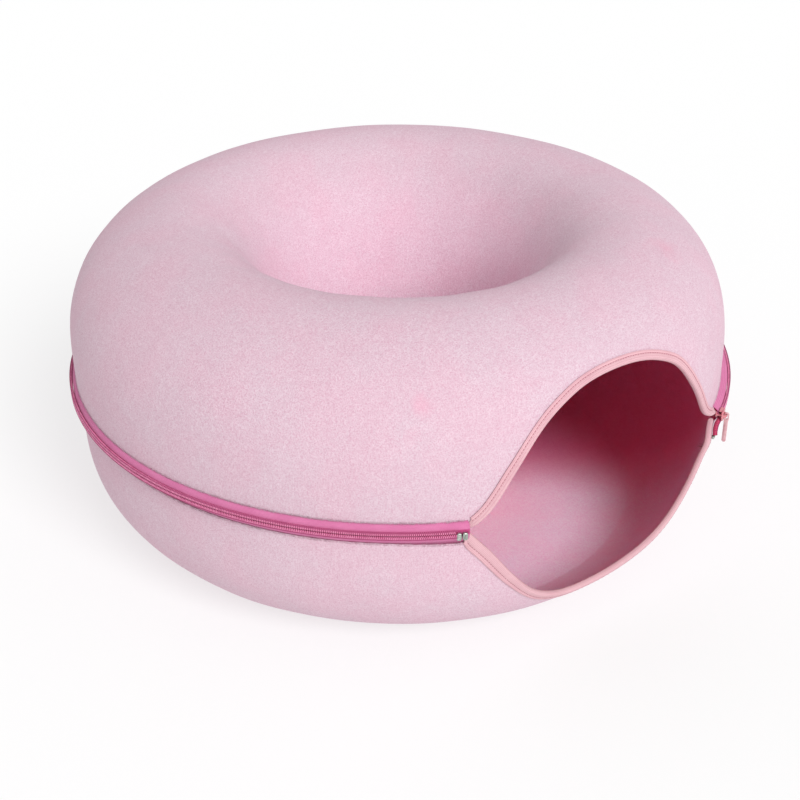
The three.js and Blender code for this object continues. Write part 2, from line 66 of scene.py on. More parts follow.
# The lip's fold: the angle, and its distance from the seam along the upper and the lower wall
LIP = np.array([
    (-27.7, 0.5, 3), (-26.2, 4.3, 12), (-24, 15.8, 25), (-20, 46.2, 53), (-16, 72.5, 77),
    (-12, 88.5, 92), (-7, 99.5, 101.5), (-1, 103.5, 98), (5, 101, 90.5), (10, 92.5, 84),
    (14, 79, 77), (18, 51, 64), (22, 20, 46), (25, 7, 26), (28.1, 0.5, 3.5),
])
LEFT_CORNER = LIP[0, 0]
RIGHT_CORNER = LIP[-1, 0]
STEEPEST_LIP = 0.35
LIP_REACH = 0.4
FOLD = 1.4

# The zip's rows and where they end
ROW_RADIUS = 298.7
ROW_WIDTH = 3.1
ROW_START = 29.3
ROW_CLOSED = 31
ROW_END = 330.5
TAPE_END = 332.1
TAPE_TUCK = 0.25
TAPE_EDGE_RADIUS = 296.8
LOOSE_END = np.array([
    (27.3, 296.9, 17), (27.5, 297.1, 11.5), (27.9, 297.7, 7), (28.4, 298.5, 4.2), (29.2, 298.7, 3.2),
])

# The upper shell leans a little: how far, which way, and the height from which it leans most
LEAN = 2.2
LEAN_ANGLE = -127.9
LEAN_PEAK_HEIGHT = 205
LEAN_SPREAD = 52

# Where the walls are drawn in: how deep, the angle and its spread, the height and its spread
LOWER_HOLLOWS = ((7.5, 33, 16, 62, 38), (3.5, -128, 26, 126, 34), (-2.2, 27.5, 4, 116, 9))
UPPER_HOLLOW = (3.2, 43, 22, 147, 32)
HOLLOW_REACH = (120, 210)
ZIP_BAND = (3.4, 7)


def smoothstep(value, low, high):
    share = np.clip((np.asarray(value, float) - low) / (high - low), 0, 1)
    return share * share * (3 - 2 * share)


def bell(value, middle, spread):
    return np.exp(-(((value - middle) / spread) ** 2))


# The felt's outer profile, in rounded quarters

def quarter(centre, reach, base, rise, across, upward, start=0.0, end=1.0):
    turn = np.linspace(start, end, 401) * math.pi / 2
    radius = centre + reach * np.clip(np.cos(turn), 0, None) ** (2 / across)
    height = base + rise * np.clip(np.sin(turn), 0, None) ** (2 / upward)
    return np.column_stack([radius, height])


class Profile:
    """A profile measured along its length; facing tells on which side the felt's face is."""

    def __init__(self, points, facing):
        self.points = points
        self.facing = facing
        steps = np.hypot(*np.diff(points, axis=0).T)
        self.lengths = np.concatenate([[0], np.cumsum(steps)])
        self.length = self.lengths[-1]

    def point(self, distance):
        return sampled(self.points, self.lengths, distance)

    def normal(self, distance):
        reach = 3
        along = self.point(np.add(distance, reach)) - self.point(np.subtract(distance, reach))
        along /= np.linalg.norm(along, axis=-1, keepdims=True)
        return np.stack([along[..., 1], -along[..., 0]], -1) * self.facing


upper_wall = quarter(
    CROWN_RADIUS, WALL_RADIUS - CROWN_RADIUS, SEAM_HEIGHT, HEIGHT - SEAM_HEIGHT, 1.61, 3.376
)
well_wall = quarter(
    CROWN_RADIUS, WELL_RADIUS - CROWN_RADIUS, WELL_FOOT_HEIGHT, HEIGHT - WELL_FOOT_HEIGHT,
    2.407, 2.472, start=1, end=0,
)
well_fillet = quarter(
    WELL_RADIUS - WELL_FILLET, WELL_FILLET, WELL_FOOT_HEIGHT, -WELL_FILLET, 2, 2
)
lower_wall = quarter(
    BASE_RADIUS, LOWER_WALL_RADIUS - BASE_RADIUS, SEAM_HEIGHT, -SEAM_HEIGHT, 1.106, 3.684
)
WALLS = {
    "upper": Profile(np.vstack([upper_wall, well_wall[1:], well_fillet[1:]]), 1),
    "lower": Profile(lower_wall, -1),
}
UP = {"upper": 1, "lower": -1}


def hollow_depth(angle, radius, height):
    """How far a wall is drawn in; the zip's rows and the middle of the bed keep their places."""
    below = 0
    for depth, middle, width, level, reach in LOWER_HOLLOWS:
        below = below + depth * bell(angle, middle, width) * bell(height, level, reach)
    depth, middle, width, level, reach = UPPER_HOLLOW
    above = depth * bell(angle, middle, width) * bell(np.maximum(height, level), level, reach)
    below = below * smoothstep(SEAM_HEIGHT - height, *ZIP_BAND)
    above = above * smoothstep(height - SEAM_HEIGHT, *ZIP_BAND)
    return (below + above) * smoothstep(radius, *HOLLOW_REACH)


def settle(points):
    """The whole bed's unevenness: a slight lean above, and walls drawn in beside the opening."""
    points = points.copy()
    high = points[..., 2]
    past_peak = bell(np.maximum(high, LEAN_PEAK_HEIGHT), LEAN_PEAK_HEIGHT, LEAN_SPREAD)
    lean = LEAN * smoothstep(high, SEAM_HEIGHT, LEAN_PEAK_HEIGHT) * past_peak
    angle = np.degrees(np.arctan2(points[..., 0], -points[..., 1]))
    points[..., 0] += lean * math.sin(math.radians(LEAN_ANGLE))
    points[..., 1] -= lean * math.cos(math.radians(LEAN_ANGLE))
    radius = np.hypot(points[..., 0], points[..., 1])
    inward = hollow_depth(angle, radius, high)
    points[..., :2] *= ((radius - inward) / np.maximum(radius, 1e-6))[..., None]
    return points


def place(angle, radius, height):
    turn = np.radians(angle)
    x, y, z = np.broadcast_arrays(radius * np.sin(turn), -radius * np.cos(turn), height)
    return settle(np.stack([x, y, z], -1).astype(float))


def on_wall(profile, angle, distance, outward):
    """A distance from the seam along a wall, and a height above the felt's outer face."""
    point = profile.point(distance) + profile.normal(distance) * np.asarray(outward)[..., None]
    return place(angle, point[..., 0], point[..., 1])


# The lip of the opening

def lip_distance(side, angle):
    x, y = LIP[:, 0], LIP[:, 1 if side == "upper" else 2]
    slope = np.gradient(y, x)
    slope[1:-1] = (y[2:] - y[:-2]) / (x[2:] - x[:-2])
    angle = np.clip(angle, LEFT_CORNER, RIGHT_CORNER)
    after = np.clip(np.searchsorted(x, angle), 1, len(x) - 1)
    before = after - 1
    width = x[after] - x[before]
    share = (angle - x[before]) / width
    blend = smoothstep(share, 0, 1)
    leaving = share * (1 - share) ** 2 * slope[before] * width
    arriving = share**2 * (share - 1) * slope[after] * width
    return y[before] + (y[after] - y[before]) * blend + leaving + arriving


def lip_direction(side, angle):
    """The fold's direction, as millimetres round the wall and along it."""
    profile = WALLS[side]
    start = np.maximum(angle - LIP_REACH, LEFT_CORNER)
    end = np.minimum(angle + LIP_REACH, RIGHT_CORNER)
    radius = profile.point(lip_distance(side, angle))[..., 0]
    across = radius * np.radians(end - start)
    along = lip_distance(side, end) - lip_distance(side, start)
    length = np.hypot(across, along)
    return across / length, along / length


def cut_distance(side, angle):
    across, _ = lip_direction(side, angle)
    return lip_distance(side, angle) + FOLD / np.maximum(across, STEEPEST_LIP)


# Meshes

def add_object(name, data):
    thing = bpy.data.objects.new(name, data)
    bpy.context.scene.collection.objects.link(thing)
    return thing


def make_object(name, points, faces, materials, uvs=None, indices=None, sharp=None):
    """An object from points in millimetres and faces, with its uvs in face corner order."""
    mesh = bpy.data.meshes.new(name)
    mesh.from_pydata((np.asarray(points, float) * MM).tolist(), [], faces)
    for material in materials:
        mesh.materials.append(material)
    if indices is not None:
        mesh.polygons.foreach_set("material_index", np.asarray(indices, np.int32))
    if uvs is not None:
        layer = mesh.uv_layers.new(name="UVMap")
        layer.data.foreach_set("uv", np.asarray(uvs, np.float32).ravel())
    mesh.shade_smooth()
    if sharp is not None:
        mesh.set_sharp_from_angle(angle=math.radians(sharp))
    mesh.update()
    return add_object(name, mesh)


def grid_faces(rings, sides):
    """Four-cornered faces between rings of points, with each one's ring and its place round it."""
    i, j = np.divmod(np.arange((rings - 1) * sides), sides)
    k = (j + 1) % sides
    corners = [i * sides + j, i * sides + k, (i + 1) * sides + k, (i + 1) * sides + j]
    return np.stack(corners, -1), i, j


def closed_skin(rings, sides, lengthwise, across):
    """The faces and uvs of a closed skin through rings of points; its two end faces come last."""
    faces, i, j = grid_faces(rings, sides)
    last = (rings - 1) * sides
    ends = [list(range(sides))[::-1], list(range(last, last + sides))]
    u, v = np.asarray(lengthwise) * MM, np.asarray(across) * MM
    corners = [(u[i], v[j]), (u[i], v[j + 1]), (u[i + 1], v[j + 1]), (u[i + 1], v[j])]
    uvs = np.stack([np.stack(corner, -1) for corner in corners], 1).reshape(-1, 2)
    return faces.tolist() + ends, np.vstack([uvs, np.zeros((2 * sides, 2))])


def sweep(name, sections, materials, lengthwise, across, sharp=None):
    """A closed skin as an object, with uvs in metres along it and round it."""
    faces, uvs = closed_skin(*sections.shape[:2], lengthwise, across)
    thing = make_object(name, sections.reshape(-1, 3), faces, materials, uvs, sharp=sharp)
    face_outwards(thing)
    return thing


def strands(name, rings, material, length=None, girth=0.0):
    """Many short closed threads as one object, from each one's rings of points.

    A length and the width of a side give each thread uvs in metres.
    """
    count, stations, sides = np.shape(rings)[:3]
    lengthwise = np.linspace(0, length or 0, stations)
    thread, uvs = closed_skin(stations, sides, lengthwise, np.arange(sides + 1) * girth)
    starts = range(0, count * stations * sides, stations * sides)
    faces = [[start + corner for corner in face] for start in starts for face in thread]
    uvs = None if length is None else np.tile(uvs, (count, 1))
    return make_object(name, np.reshape(rings, (-1, 3)), faces, [material], uvs)


def face_outwards(thing):
    """Turns the faces of closed meshes outwards."""
    work = bmesh.new()
    work.from_mesh(thing.data)
    if work.calc_volume(signed=True) < 0:
        bmesh.ops.reverse_faces(work, faces=work.faces)
        work.to_mesh(thing.data)
    work.free()


def lengths_of(path):
    steps = np.linalg.norm(np.diff(path, axis=0), axis=-1)
    return np.concatenate([[0], np.cumsum(steps)])


def sampled(values, lengths, wanted):
    """The values at places along a line, from those at its points and the points' own places."""
    return np.stack([np.interp(wanted, lengths, one) for one in values.T], -1)


def spline(points, count):
    """A smooth curve through points, cut into even steps."""
    points = np.asarray(points, float)
    padded = np.vstack([2 * points[0] - points[1], points, 2 * points[-1] - points[-2]])
    pieces = []
    for n in range(len(points) - 1):
        a, b, c, d = padded[n:n + 4]
        t = np.linspace(0, 1, 24, endpoint=False)[:, None]
        pieces.append(
            b + 0.5 * t * ((c - a) + t * (2 * a - 5 * b + 4 * c - d + t * (3 * (b - c) + d - a)))
        )
    fine = np.vstack([*pieces, points[-1:]])
    lengths = lengths_of(fine)
    return sampled(fine, lengths, np.linspace(0, lengths[-1], count))


def squared_off(value, power):
    return np.sign(value) * np.abs(value) ** power


def ring_of(sides, wide, high, power=2.0):
    """A rounded section as pairs of numbers."""
    turn = np.arange(sides) / sides * 2 * math.pi
    across, upward = squared_off(np.cos(turn), 2 / power), squared_off(np.sin(turn), 2 / power)
    return np.stack([wide * across, high * upward], -1)


def rings_round(path, sideways, upwards, section):
    """A section's rings along a path, given the path's two cross directions."""
    wide, high = section[..., :1], section[..., 1:]
    return path[..., None, :] + sideways[..., None, :] * wide + upwards[..., None, :] * high


def tube(name, path, sideways, upwards, section, materials):
    """A section swept along a path."""
    rings = rings_round(path, sideways, upwards, section)
    around = lengths_of(np.vstack([section, section[:1]]))
    return sweep(name, rings, materials, lengths_of(path), around)


def unit(vectors):
    return vectors / np.maximum(np.linalg.norm(vectors, axis=-1, keepdims=True), 1e-9)


def heading(path):
    return unit(np.gradient(path, axis=0))


def squared_to(vectors, line):
    """Directions turned just enough to stand square to a line's own."""
    return unit(vectors - line * (vectors * line).sum(-1, keepdims=True))


# Materials

class Recipe:
    """A node material under construction."""

    def __init__(self, name):
        self.material = bpy.data.materials.new(name)
        self.material.use_nodes = True
        self.tree = self.material.node_tree
        self.shader = self.tree.nodes["Principled BSDF"]
        self.colours = [colour(*one) for one in COLOURS.get(name, ())]

    def node(self, kind, links=None, **settings):
        made = self.tree.nodes.new(kind)
        for key, value in settings.items():
            setattr(made, key, value)
        for socket, value in (links or {}).items():
            self.fill(made.inputs[socket], value)
        return made

    def fill(self, socket, value):
        if isinstance(value, bpy.types.NodeSocket):
            self.tree.links.new(value, socket)
        else:
            socket.default_value = value

    def set(self, **values):
        for key, value in values.items():
            self.fill(self.shader.inputs[key.replace("_", " ")], value)

    def mapped(self, source, scale=(1, 1, 1), turn=(0, 0, 0)):
        settings = {"Vector": source, "Scale": scale, "Rotation": [math.radians(a) for a in turn]}
        return self.node("ShaderNodeMapping", settings).outputs["Vector"]

    def noise(self, source, scale, detail=2.0, roughness=0.5, distortion=0.0):
        links = {
            "Vector": source, "Scale": scale, "Detail": detail, "Roughness": roughness,
            "Distortion": distortion,
        }
        return self.node("ShaderNodeTexNoise", links).outputs["Fac"]

    def waves(self, source, period, direction="X", distortion=0.0):
        """Even bands, one every period metres."""
        links = {"Vector": source, "Scale": math.pi / (10 * period), "Distortion": distortion}
        return self.node("ShaderNodeTexWave", links, bands_direction=direction).outputs["Fac"]

    def span(self, value, low, high, to_low=0.0, to_high=1.0, kind="LINEAR"):
        links = {
            "Value": value, "From Min": low, "From Max": high, "To Min": to_low, "To Max": to_high,
        }
        return self.node("ShaderNodeMapRange", links, interpolation_type=kind).outputs["Result"]

    def vector(self, operation, *values):
        return self.node("ShaderNodeVectorMath", dict(enumerate(values)), operation=operation).outputs

    def distance(self, here, point, upright=False):
        """How far a place is from a point, or from the upright line through it."""
        offset = self.vector("SUBTRACT", here, point)[0]
        if upright:
            offset = self.vector("MULTIPLY", offset, (1, 1, 0))[0]
        return self.vector("LENGTH", offset)["Value"]

    def math(self, operation, first, second=0.5):
        links = {0: first, 1: second}
        return self.node("ShaderNodeMath", links, operation=operation).outputs["Value"]

    def mix(self, share, first, second, blend="MIX"):
        made = self.node("ShaderNodeMix", data_type="RGBA", blend_type=blend)
        for number, value in ((0, share), (6, first), (7, second)):
            self.fill(made.inputs[number], value)
        return made.outputs[2]

    def finished(self, relief, distance, strength):
        """The material, with its surface raised by a relief."""
        links = {"Height": relief, "Distance": distance, "Strength": strength}
        self.set(Normal=self.node("ShaderNodeBump", links).outputs["Normal"])
        return self.material

    def object_place(self):
        return self.node("ShaderNodeTexCoord").outputs["Object"]

    def surface_place(self):
        return self.node("ShaderNodeUVMap", uv_map="UVMap").outputs["UV"]


def colour(red, green, blue):
    """A colour that is given as it looks on screen, from 0 to 255."""
    values = [c / 255 for c in (red, green, blue)]
    linear = [c / 12.92 if c <= 0.04045 else ((c + 0.055) / 1.055) ** 2.4 for c in values]
    return (*linear, 1.0)


def felt_material(name, blotches=(), zone=None):
    """Needled felt: fine tangled fibres of three near colours, under a soft nap.

    Blotches are soft deeper spots. A zone is a tint that comes in between two distances from
    an upright line: painted light that brightens the well, or painted shade that deepens the tunnel's
    floor away from the opening.
    """
    recipe = Recipe(name)
    pale, middle, deep = recipe.colours
    here = recipe.object_place()
    grain = recipe.noise(here, 900, 2, 0.6)
    tangle = recipe.noise(here, 420, 3, 0.6, 1.0)
    mottle = recipe.noise(here, 190, 3, 0.6, 0.8)
    cloud = recipe.noise(here, 48, 4, 0.6)
    broad = recipe.noise(here, 7, 2)
    pale_fibres = deep_fibres = 0.0
    for scale, turn in FIBRE_RUNS:
        streak = recipe.noise(recipe.mapped(here, scale, turn), 1, 1, 0.4, 0.6)
        pale_fibres = recipe.math("MAXIMUM", pale_fibres, recipe.span(streak, 0.6, 0.74))
        deep_fibres = recipe.math("MAXIMUM", deep_fibres, recipe.span(streak, 0.4, 0.28))
    shade = recipe.mix(recipe.span(tangle, 0.35, 0.65), middle, pale)
    shade = recipe.mix(recipe.span(grain, 0.44, 0.68), shade, deep)
    shade = recipe.mix(recipe.math("MULTIPLY", pale_fibres, 0.6), shade, pale)
    shade = recipe.mix(recipe.math("MULTIPLY", deep_fibres, 0.55), shade, deep)
    shade = recipe.mix(recipe.span(mottle, 0.42, 0.7, 0, 0.2), shade, deep)
    shade = recipe.mix(recipe.span(cloud, 0.36, 0.7, 0, 0.12), shade, deep)
    shade = recipe.mix(recipe.span(broad, 0.35, 0.7, 0, 0.1), shade, middle)
    warm = recipe.mix(1.0, shade, (1.02, 0.965, 0.98, 1), "MULTIPLY")
    shade = recipe.mix(recipe.span(recipe.noise(here, 22, 2), 0.4, 0.62), shade, warm)
    for spot, reach, strength, tint in blotches:
        ragged = recipe.span(cloud, 0.3, 0.7, -reach / 2, reach / 2)
        uneven = recipe.math("ADD", recipe.distance(here, spot), ragged)
        shade = recipe.mix(recipe.span(uneven, 0, reach, strength, 0), shade, colour(*tint))
    # The zone: painted light that brightens the well of the outside felt, or painted shade that deepens
    # the lining's floor away from the opening
    if zone is not None:
        tint, middle_line, near, far = zone
        away = recipe.distance(here, middle_line, upright=True)
        tinted = recipe.mix(1.0, shade, tint, "MULTIPLY")
        shade = recipe.mix(recipe.span(away, near, far, kind="SMOOTHSTEP"), shade, tinted)
    nap = recipe.math("MULTIPLY", tangle, 0.7)
    for layer, weight in ((grain, 0.5), (pale_fibres, 0.3), (mottle, 0.4)):
        nap = recipe.math("ADD", nap, recipe.math("MULTIPLY", layer, weight))
    recipe.set(Base_Color=shade, Roughness=0.95, Specular_IOR_Level=0.15)
    recipe.set(Sheen_Weight=0.12, Sheen_Roughness=0.5, Sheen_Tint=pale)
    return recipe.finished(nap, 0.0007, 0.6)


def woven_material(name, side_tint, side_from, side_to, rib, thread):
    """A narrow woven tape: ribs along it, crossed by finer threads, and a tint along one side, which on
    the zip tapes is painted shade under the coil.
    """
    recipe = Recipe(name)
    light, dark = recipe.colours
    here = recipe.surface_place()
    ribs = recipe.waves(here, rib, "Y", 0.4)
    threads = recipe.waves(here, thread, "X", 0.3)
    slanted = recipe.waves(recipe.mapped(here, turn=(0, 0, 32)), rib * 0.8, "X", 0.2)
    ribs = recipe.math("ADD", ribs, slanted)
    weave = recipe.math("MULTIPLY", ribs, recipe.span(threads, 0, 1, 0.6, 1))
    fuzz = recipe.noise(recipe.object_place(), 900, 3, 0.6)
    uneven = recipe.noise(recipe.object_place(), 60, 2)
    shade = recipe.mix(recipe.span(weave, 0.1, 1.3), dark, light)
    shade = recipe.mix(recipe.span(fuzz, 0.45, 0.75, 0, 0.35), shade, light)
    shade = recipe.mix(recipe.span(uneven, 0.35, 0.7, 0, 0.3), shade, dark)
    across = recipe.node("ShaderNodeSeparateXYZ", {"Vector": here}).outputs["Y"]
    # On the zip tapes this side tint is painted shade under the coil
    tinted = recipe.mix(1.0, shade, side_tint, "MULTIPLY")
    shade = recipe.mix(recipe.span(across, side_from, side_to), shade, tinted)
    recipe.set(Base_Color=shade, Roughness=0.85, Specular_IOR_Level=0.2)
    recipe.set(Sheen_Weight=0.08, Sheen_Roughness=0.5)
    nap = recipe.math("ADD", weave, recipe.math("MULTIPLY", fuzz, 0.5))
    return recipe.finished(nap, 0.00022, 0.7)


def thread_material(name, twist=0.0007):
    recipe = Recipe(name)
    light, dark = recipe.colours
    here = recipe.mapped(recipe.surface_place(), turn=(0, 0, 38))
    ply = recipe.waves(here, twist, "X", 0.3)
    lint = recipe.noise(recipe.object_place(), 1200, 2)
    shade = recipe.mix(recipe.math("MULTIPLY", ply, recipe.span(lint, 0.2, 0.8, 0.6, 1)), dark, light)
    recipe.set(Base_Color=shade, Roughness=0.6, Specular_IOR_Level=0.35, Sheen_Weight=0.1)
    return recipe.finished(ply, 0.00012, 0.6)


def nylon_material(name):
    recipe = Recipe(name)
    light, dark = recipe.colours
    here = recipe.object_place()
    cloud = recipe.noise(here, 220, 3)
    fine = recipe.noise(here, 1500, 2)
    shade = recipe.mix(recipe.span(cloud, 0.3, 0.7), dark, light)
    recipe.set(Base_Color=shade, Roughness=recipe.span(fine, 0.2, 0.8, 0.28, 0.45))
    recipe.set(Specular_IOR_Level=0.5)
    return recipe.finished(fine, 0.00005, 0.4)


def enamel_material(name):
    recipe = Recipe(name)
    light, dark = recipe.colours
    here = recipe.object_place()
    cloud = recipe.noise(here, 300, 3)
    fine = recipe.noise(here, 1800, 2)
    shade = recipe.mix(recipe.span(cloud, 0.35, 0.7), light, dark)
    recipe.set(Base_Color=shade, Roughness=recipe.span(cloud, 0.2, 0.8, 0.3, 0.42))
    recipe.set(Coat_Weight=0.4, Coat_Roughness=0.2)
    return recipe.finished(fine, 0.00004, 0.4)


def metal_material(name):
    recipe = Recipe(name)
    light, dark = recipe.colours
    here = recipe.object_place()
    brushed = recipe.noise(recipe.mapped(here, (300, 300, 2600)), 1, 3)
    cloud = recipe.noise(here, 500, 2)
    shade = recipe.mix(recipe.span(cloud, 0.35, 0.7), light, dark)
    recipe.set(Base_Color=shade, Metallic=0.9, Roughness=recipe.span(brushed, 0.3, 0.7, 0.24, 0.42))
    return recipe.finished(brushed, 0.00006, 0.4)


# The colours of each material from light to dark, as they look on screen, from 0 to 255
TAPE_PINKS = ((228, 142, 184), (198, 96, 146))
COLOURS = {
    "felt_outside": ((223, 202, 212), (214, 191, 202), (202, 162, 179)),
    # The lining's floor is painted near white, paler than the same felt outside: painted light for the
    # lit floor in the tunnel
    "felt_floor_painted_light_and_shade": ((254, 240, 255), (253, 231, 253), (246, 206, 238)),
    # The lining's ceiling is painted deep crimson: painted shade for the dark inside of the tunnel
    "felt_ceiling_painted_shade": ((246, 62, 116), (242, 50, 104), (226, 34, 82)),
    "tape_pink_upper": TAPE_PINKS,
    "tape_pink_lower": TAPE_PINKS,
    "coil_pink": ((238, 150, 188), (216, 116, 160)),
    "coil_thread": ((184, 78, 126), (150, 50, 96)),
    # The filler cord is real; its dark crimson is painted shade for the line between the closed rows
    "row_cord_painted_shade": ((160, 40, 92), (118, 20, 64)),
    # The lower row's loose end, coil and cord, is coloured deeper as painted shade
    "loose_coil_painted_shade": ((220, 66, 112), (188, 40, 84)),
    "loose_cord_painted_shade": ((190, 48, 92), (132, 20, 58)),
    "binding_pink": ((232, 189, 195), (200, 144, 156)),
    "binding_thread": ((194, 122, 138), (156, 82, 100)),
    "slider_enamel": ((216, 138, 146), (198, 106, 120)),
    "pull_enamel": ((216, 172, 176), (206, 152, 160)),
    "stop_metal": ((198, 204, 196), (128, 136, 128)),
}
# The scales and turns of the noise that draws the felt's fibres, which run in three directions
FIBRE_RUNS = (
    ((1500, 190, 1500), (20, 35, 10)),
    ((1500, 1500, 210), (0, 15, 60)),
    ((170, 1500, 1500), (50, 0, 75)),
)
# Rosy spots in the upper felt: the place, the reach, the strength and the colour
BLOTCHES = (
    ((-0.1568, -0.2252, 0.2392), 0.011, 0.34, (232, 150, 178)),
    ((-0.1656, -0.2270, 0.2190), 0.009, 0.2, (232, 150, 178)),
    ((0.1337, -0.1909, 0.2718), 0.018, 0.32, (226, 148, 172)),
)
# Where the felt is tinted, as painted light in the well and as painted shade in the tunnel away from the
# opening: the tint, the upright line, and the distances where it starts and is full
WELL_PAINTED_LIGHT = ((1.18, 1.15, 1.17, 1), (0, 0, 0), 0.155, 0.104)
# Painted shade: the tunnel's floor turns crimson away from the opening
TUNNEL_PAINTED_SHADE = ((1.0, 0.36, 0.54, 1), (0.01, -0.225, 0), 0.125, 0.228)
# How far across each tape the painted shade under the coil starts, and how soon it is full
COIL_SHADE_STRIP = {"upper": 0.0193, "lower": 0.0226}
COIL_SHADE_BLEND = 0.0011
COIL_SHADE_TINT = (0.76, 0.34, 0.54, 1)
# The bindings are a little less red past their outer edge
FOLD_TINT = (0.99, 1.03, 1.02, 1)
FOLD_TINT_FROM = 0.0029
FOLD_TINT_FULL = 0.0035

# The outside felt carries painted light: it is brighter inside the well
felt_outside = felt_material("felt_outside", BLOTCHES, WELL_PAINTED_LIGHT)
# The lining's floor: painted light, near white, with painted shade deepening it away from the opening
felt_floor_painted_light_and_shade = felt_material("felt_floor_painted_light_and_shade", zone=TUNNEL_PAINTED_SHADE)
# The lining's ceiling: painted shade, deep crimson
felt_ceiling_painted_shade = felt_material("felt_ceiling_painted_shade")
tape_pinks = {
    side: woven_material(
        f"tape_pink_{side}", COIL_SHADE_TINT, start, start + COIL_SHADE_BLEND, rib=0.0009, thread=0.00042
    )
    for side, start in COIL_SHADE_STRIP.items()
}
coil_pink = nylon_material("coil_pink")
coil_thread = thread_material("coil_thread")
# The filler cord: a real cord, coloured dark as painted shade between the rows
row_cord_painted_shade = thread_material("row_cord_painted_shade")
# The loose end's coil and cord: painted shade
loose_coil_painted_shade = nylon_material("loose_coil_painted_shade")
loose_cord_painted_shade = thread_material("loose_cord_painted_shade", twist=0.0009)
binding_pink = woven_material(
    "binding_pink", FOLD_TINT, FOLD_TINT_FROM, FOLD_TINT_FULL, rib=0.0012, thread=0.0005
)
binding_thread = thread_material("binding_thread")
slider_enamel = enamel_material("slider_enamel")
pull_enamel = enamel_material("pull_enamel")
stop_metal = metal_material("stop_metal")


# The felt shells

LIP_STEPS = 112
ROUND_STEPS = 400
RIM_THICKNESS = 0.75
LIP_THICKNESS = 2.3
RIM_STEP = 0.1
RIM_DROP = {"upper": 0, "lower": 2}
RIM_DROP_ANGLES = (318, 331)
CORNER_BLEND = 1.5
RIPPLE_FROM_EDGE = (4, 34)
FIBRE_ROOT = 1.6


def ripple(angle, distance):
    """Soft low waves, as moulded felt has them."""
    turn = np.radians(angle)
    waves = 0.22 * np.sin(7 * turn + 0.4) * np.sin(distance / 37 + 1.1)
    waves = waves + 0.16 * np.sin(13 * turn + distance / 61 + 2.0)
    return waves + 0.14 * np.sin(23 * turn - distance / 29 + 0.7) * np.sin(distance / 53)


def rim_distance(side, angles):
    """How far a shell's rim lies from the seam, as it was cut by hand."""
    unevenness = 0.2 * np.sin(angles * 3.7) * np.sin(angles * 1.3 + 1) + 0.14 * np.sin(angles * 11.1)
    return RIM[side] + unevenness + RIM_DROP[side] * smoothstep(angles, *RIM_DROP_ANGLES)


def felt_shell(name, side, free, near_rows, far_rows, middle_height, lining):
    """A moulded shell: felt of one thickness that is pressed thinner at its rim and its lip.

    Its rows lie evenly from the middle to the free distance, and evenly on from there to the edge.
    """
    profile = WALLS[side]
    lip_angles = np.linspace(LEFT_CORNER, RIGHT_CORNER, LIP_STEPS + 1)
    round_start, round_end = RIGHT_CORNER + RIM_STEP, FULL_TURN + LEFT_CORNER - RIM_STEP
    round_angles = np.linspace(round_start, round_end, ROUND_STEPS + 1)
    angles = np.concatenate([lip_angles, round_angles])
    edges = np.concatenate([cut_distance(side, lip_angles), rim_distance(side, round_angles)])
    past_corner = np.minimum(round_angles - round_start, round_end - round_angles)
    at_corner = 1 - smoothstep(past_corner, 0, CORNER_BLEND)
    at_rim = RIM_THICKNESS + (LIP_THICKNESS - RIM_THICKNESS) * at_corner
    edge_thickness = np.concatenate([np.full(len(lip_angles), LIP_THICKNESS), at_rim])
    rounding = np.minimum(edge_thickness / 2, 1.1)
    near_lip = smoothstep(edge_thickness, RIM_THICKNESS, LIP_THICKNESS)

    far = np.linspace(profile.length, free, far_rows + 1)[:-1]
    rows = [np.full(len(angles), distance) for distance in far]
    rows += [free + (edges + rounding - free) * share for share in np.linspace(0, 1, near_rows + 1)]
    outside = np.array(rows)
    lift = ripple(angles, outside) * smoothstep(outside - edges, *RIPPLE_FROM_EDGE)
    thickening = smoothstep(outside - edges, 0.5 + 6 * near_lip, 9 + 13 * near_lip)
    depth = edge_thickness + (FELT - edge_thickness) * thickening
    outer = on_wall(profile, angles, outside, lift)
    inner = on_wall(profile, angles, outside, lift - depth)
    turns = np.linspace(0, math.pi, 8)[1:-1, None]
    rounded_depth = edge_thickness / 2 * (np.cos(turns) - 1)
    rounded = on_wall(profile, angles, edges + rounding * (1 - np.sin(turns)), rounded_depth)

    floor_rows = np.linspace(1, 0, 7)[1:-1]
    end_radius = profile.points[-1, 0]
    inside_height = middle_height - profile.facing * FELT
    floor_outer = np.array([place(angles, end_radius * s, middle_height) for s in floor_rows[::-1]])
    floor_inner = np.array([place(angles, end_radius * s, inside_height) for s in floor_rows])
    rings = np.concatenate([floor_outer, outer, rounded, inner[::-1], floor_inner])
    points = rings.reshape(-1, 3)
    count = len(angles)
    faces, i, _ = grid_faces(len(rings), count)
    first, last = len(points), len(points) + 1
    points = np.vstack([points, [0, 0, middle_height], [0, 0, inside_height]])
    start = (len(rings) - 1) * count
    caps = [[first, (n + 1) % count, n] for n in range(count)]
    caps += [[last, start + n, start + (n + 1) % count] for n in range(count)]
    outer_count = len(floor_outer) + len(outer) + len(rounded) // 2 + 2
    indices = np.concatenate([(i >= outer_count).astype(int), np.zeros(count), np.ones(count)])
    thing = make_object(name, points, faces.tolist() + caps, [felt_outside, lining], indices=indices)
    face_outwards(thing)
    return thing


felt_upper = felt_shell(
    "felt_upper", "upper", free=150, near_rows=26, far_rows=46, middle_height=WELL_FLOOR_HEIGHT,
    lining=felt_ceiling_painted_shade,
)
felt_lower = felt_shell(
    "felt_lower", "lower", free=118, near_rows=22, far_rows=16, middle_height=0.0, lining=felt_floor_painted_light_and_shade
)


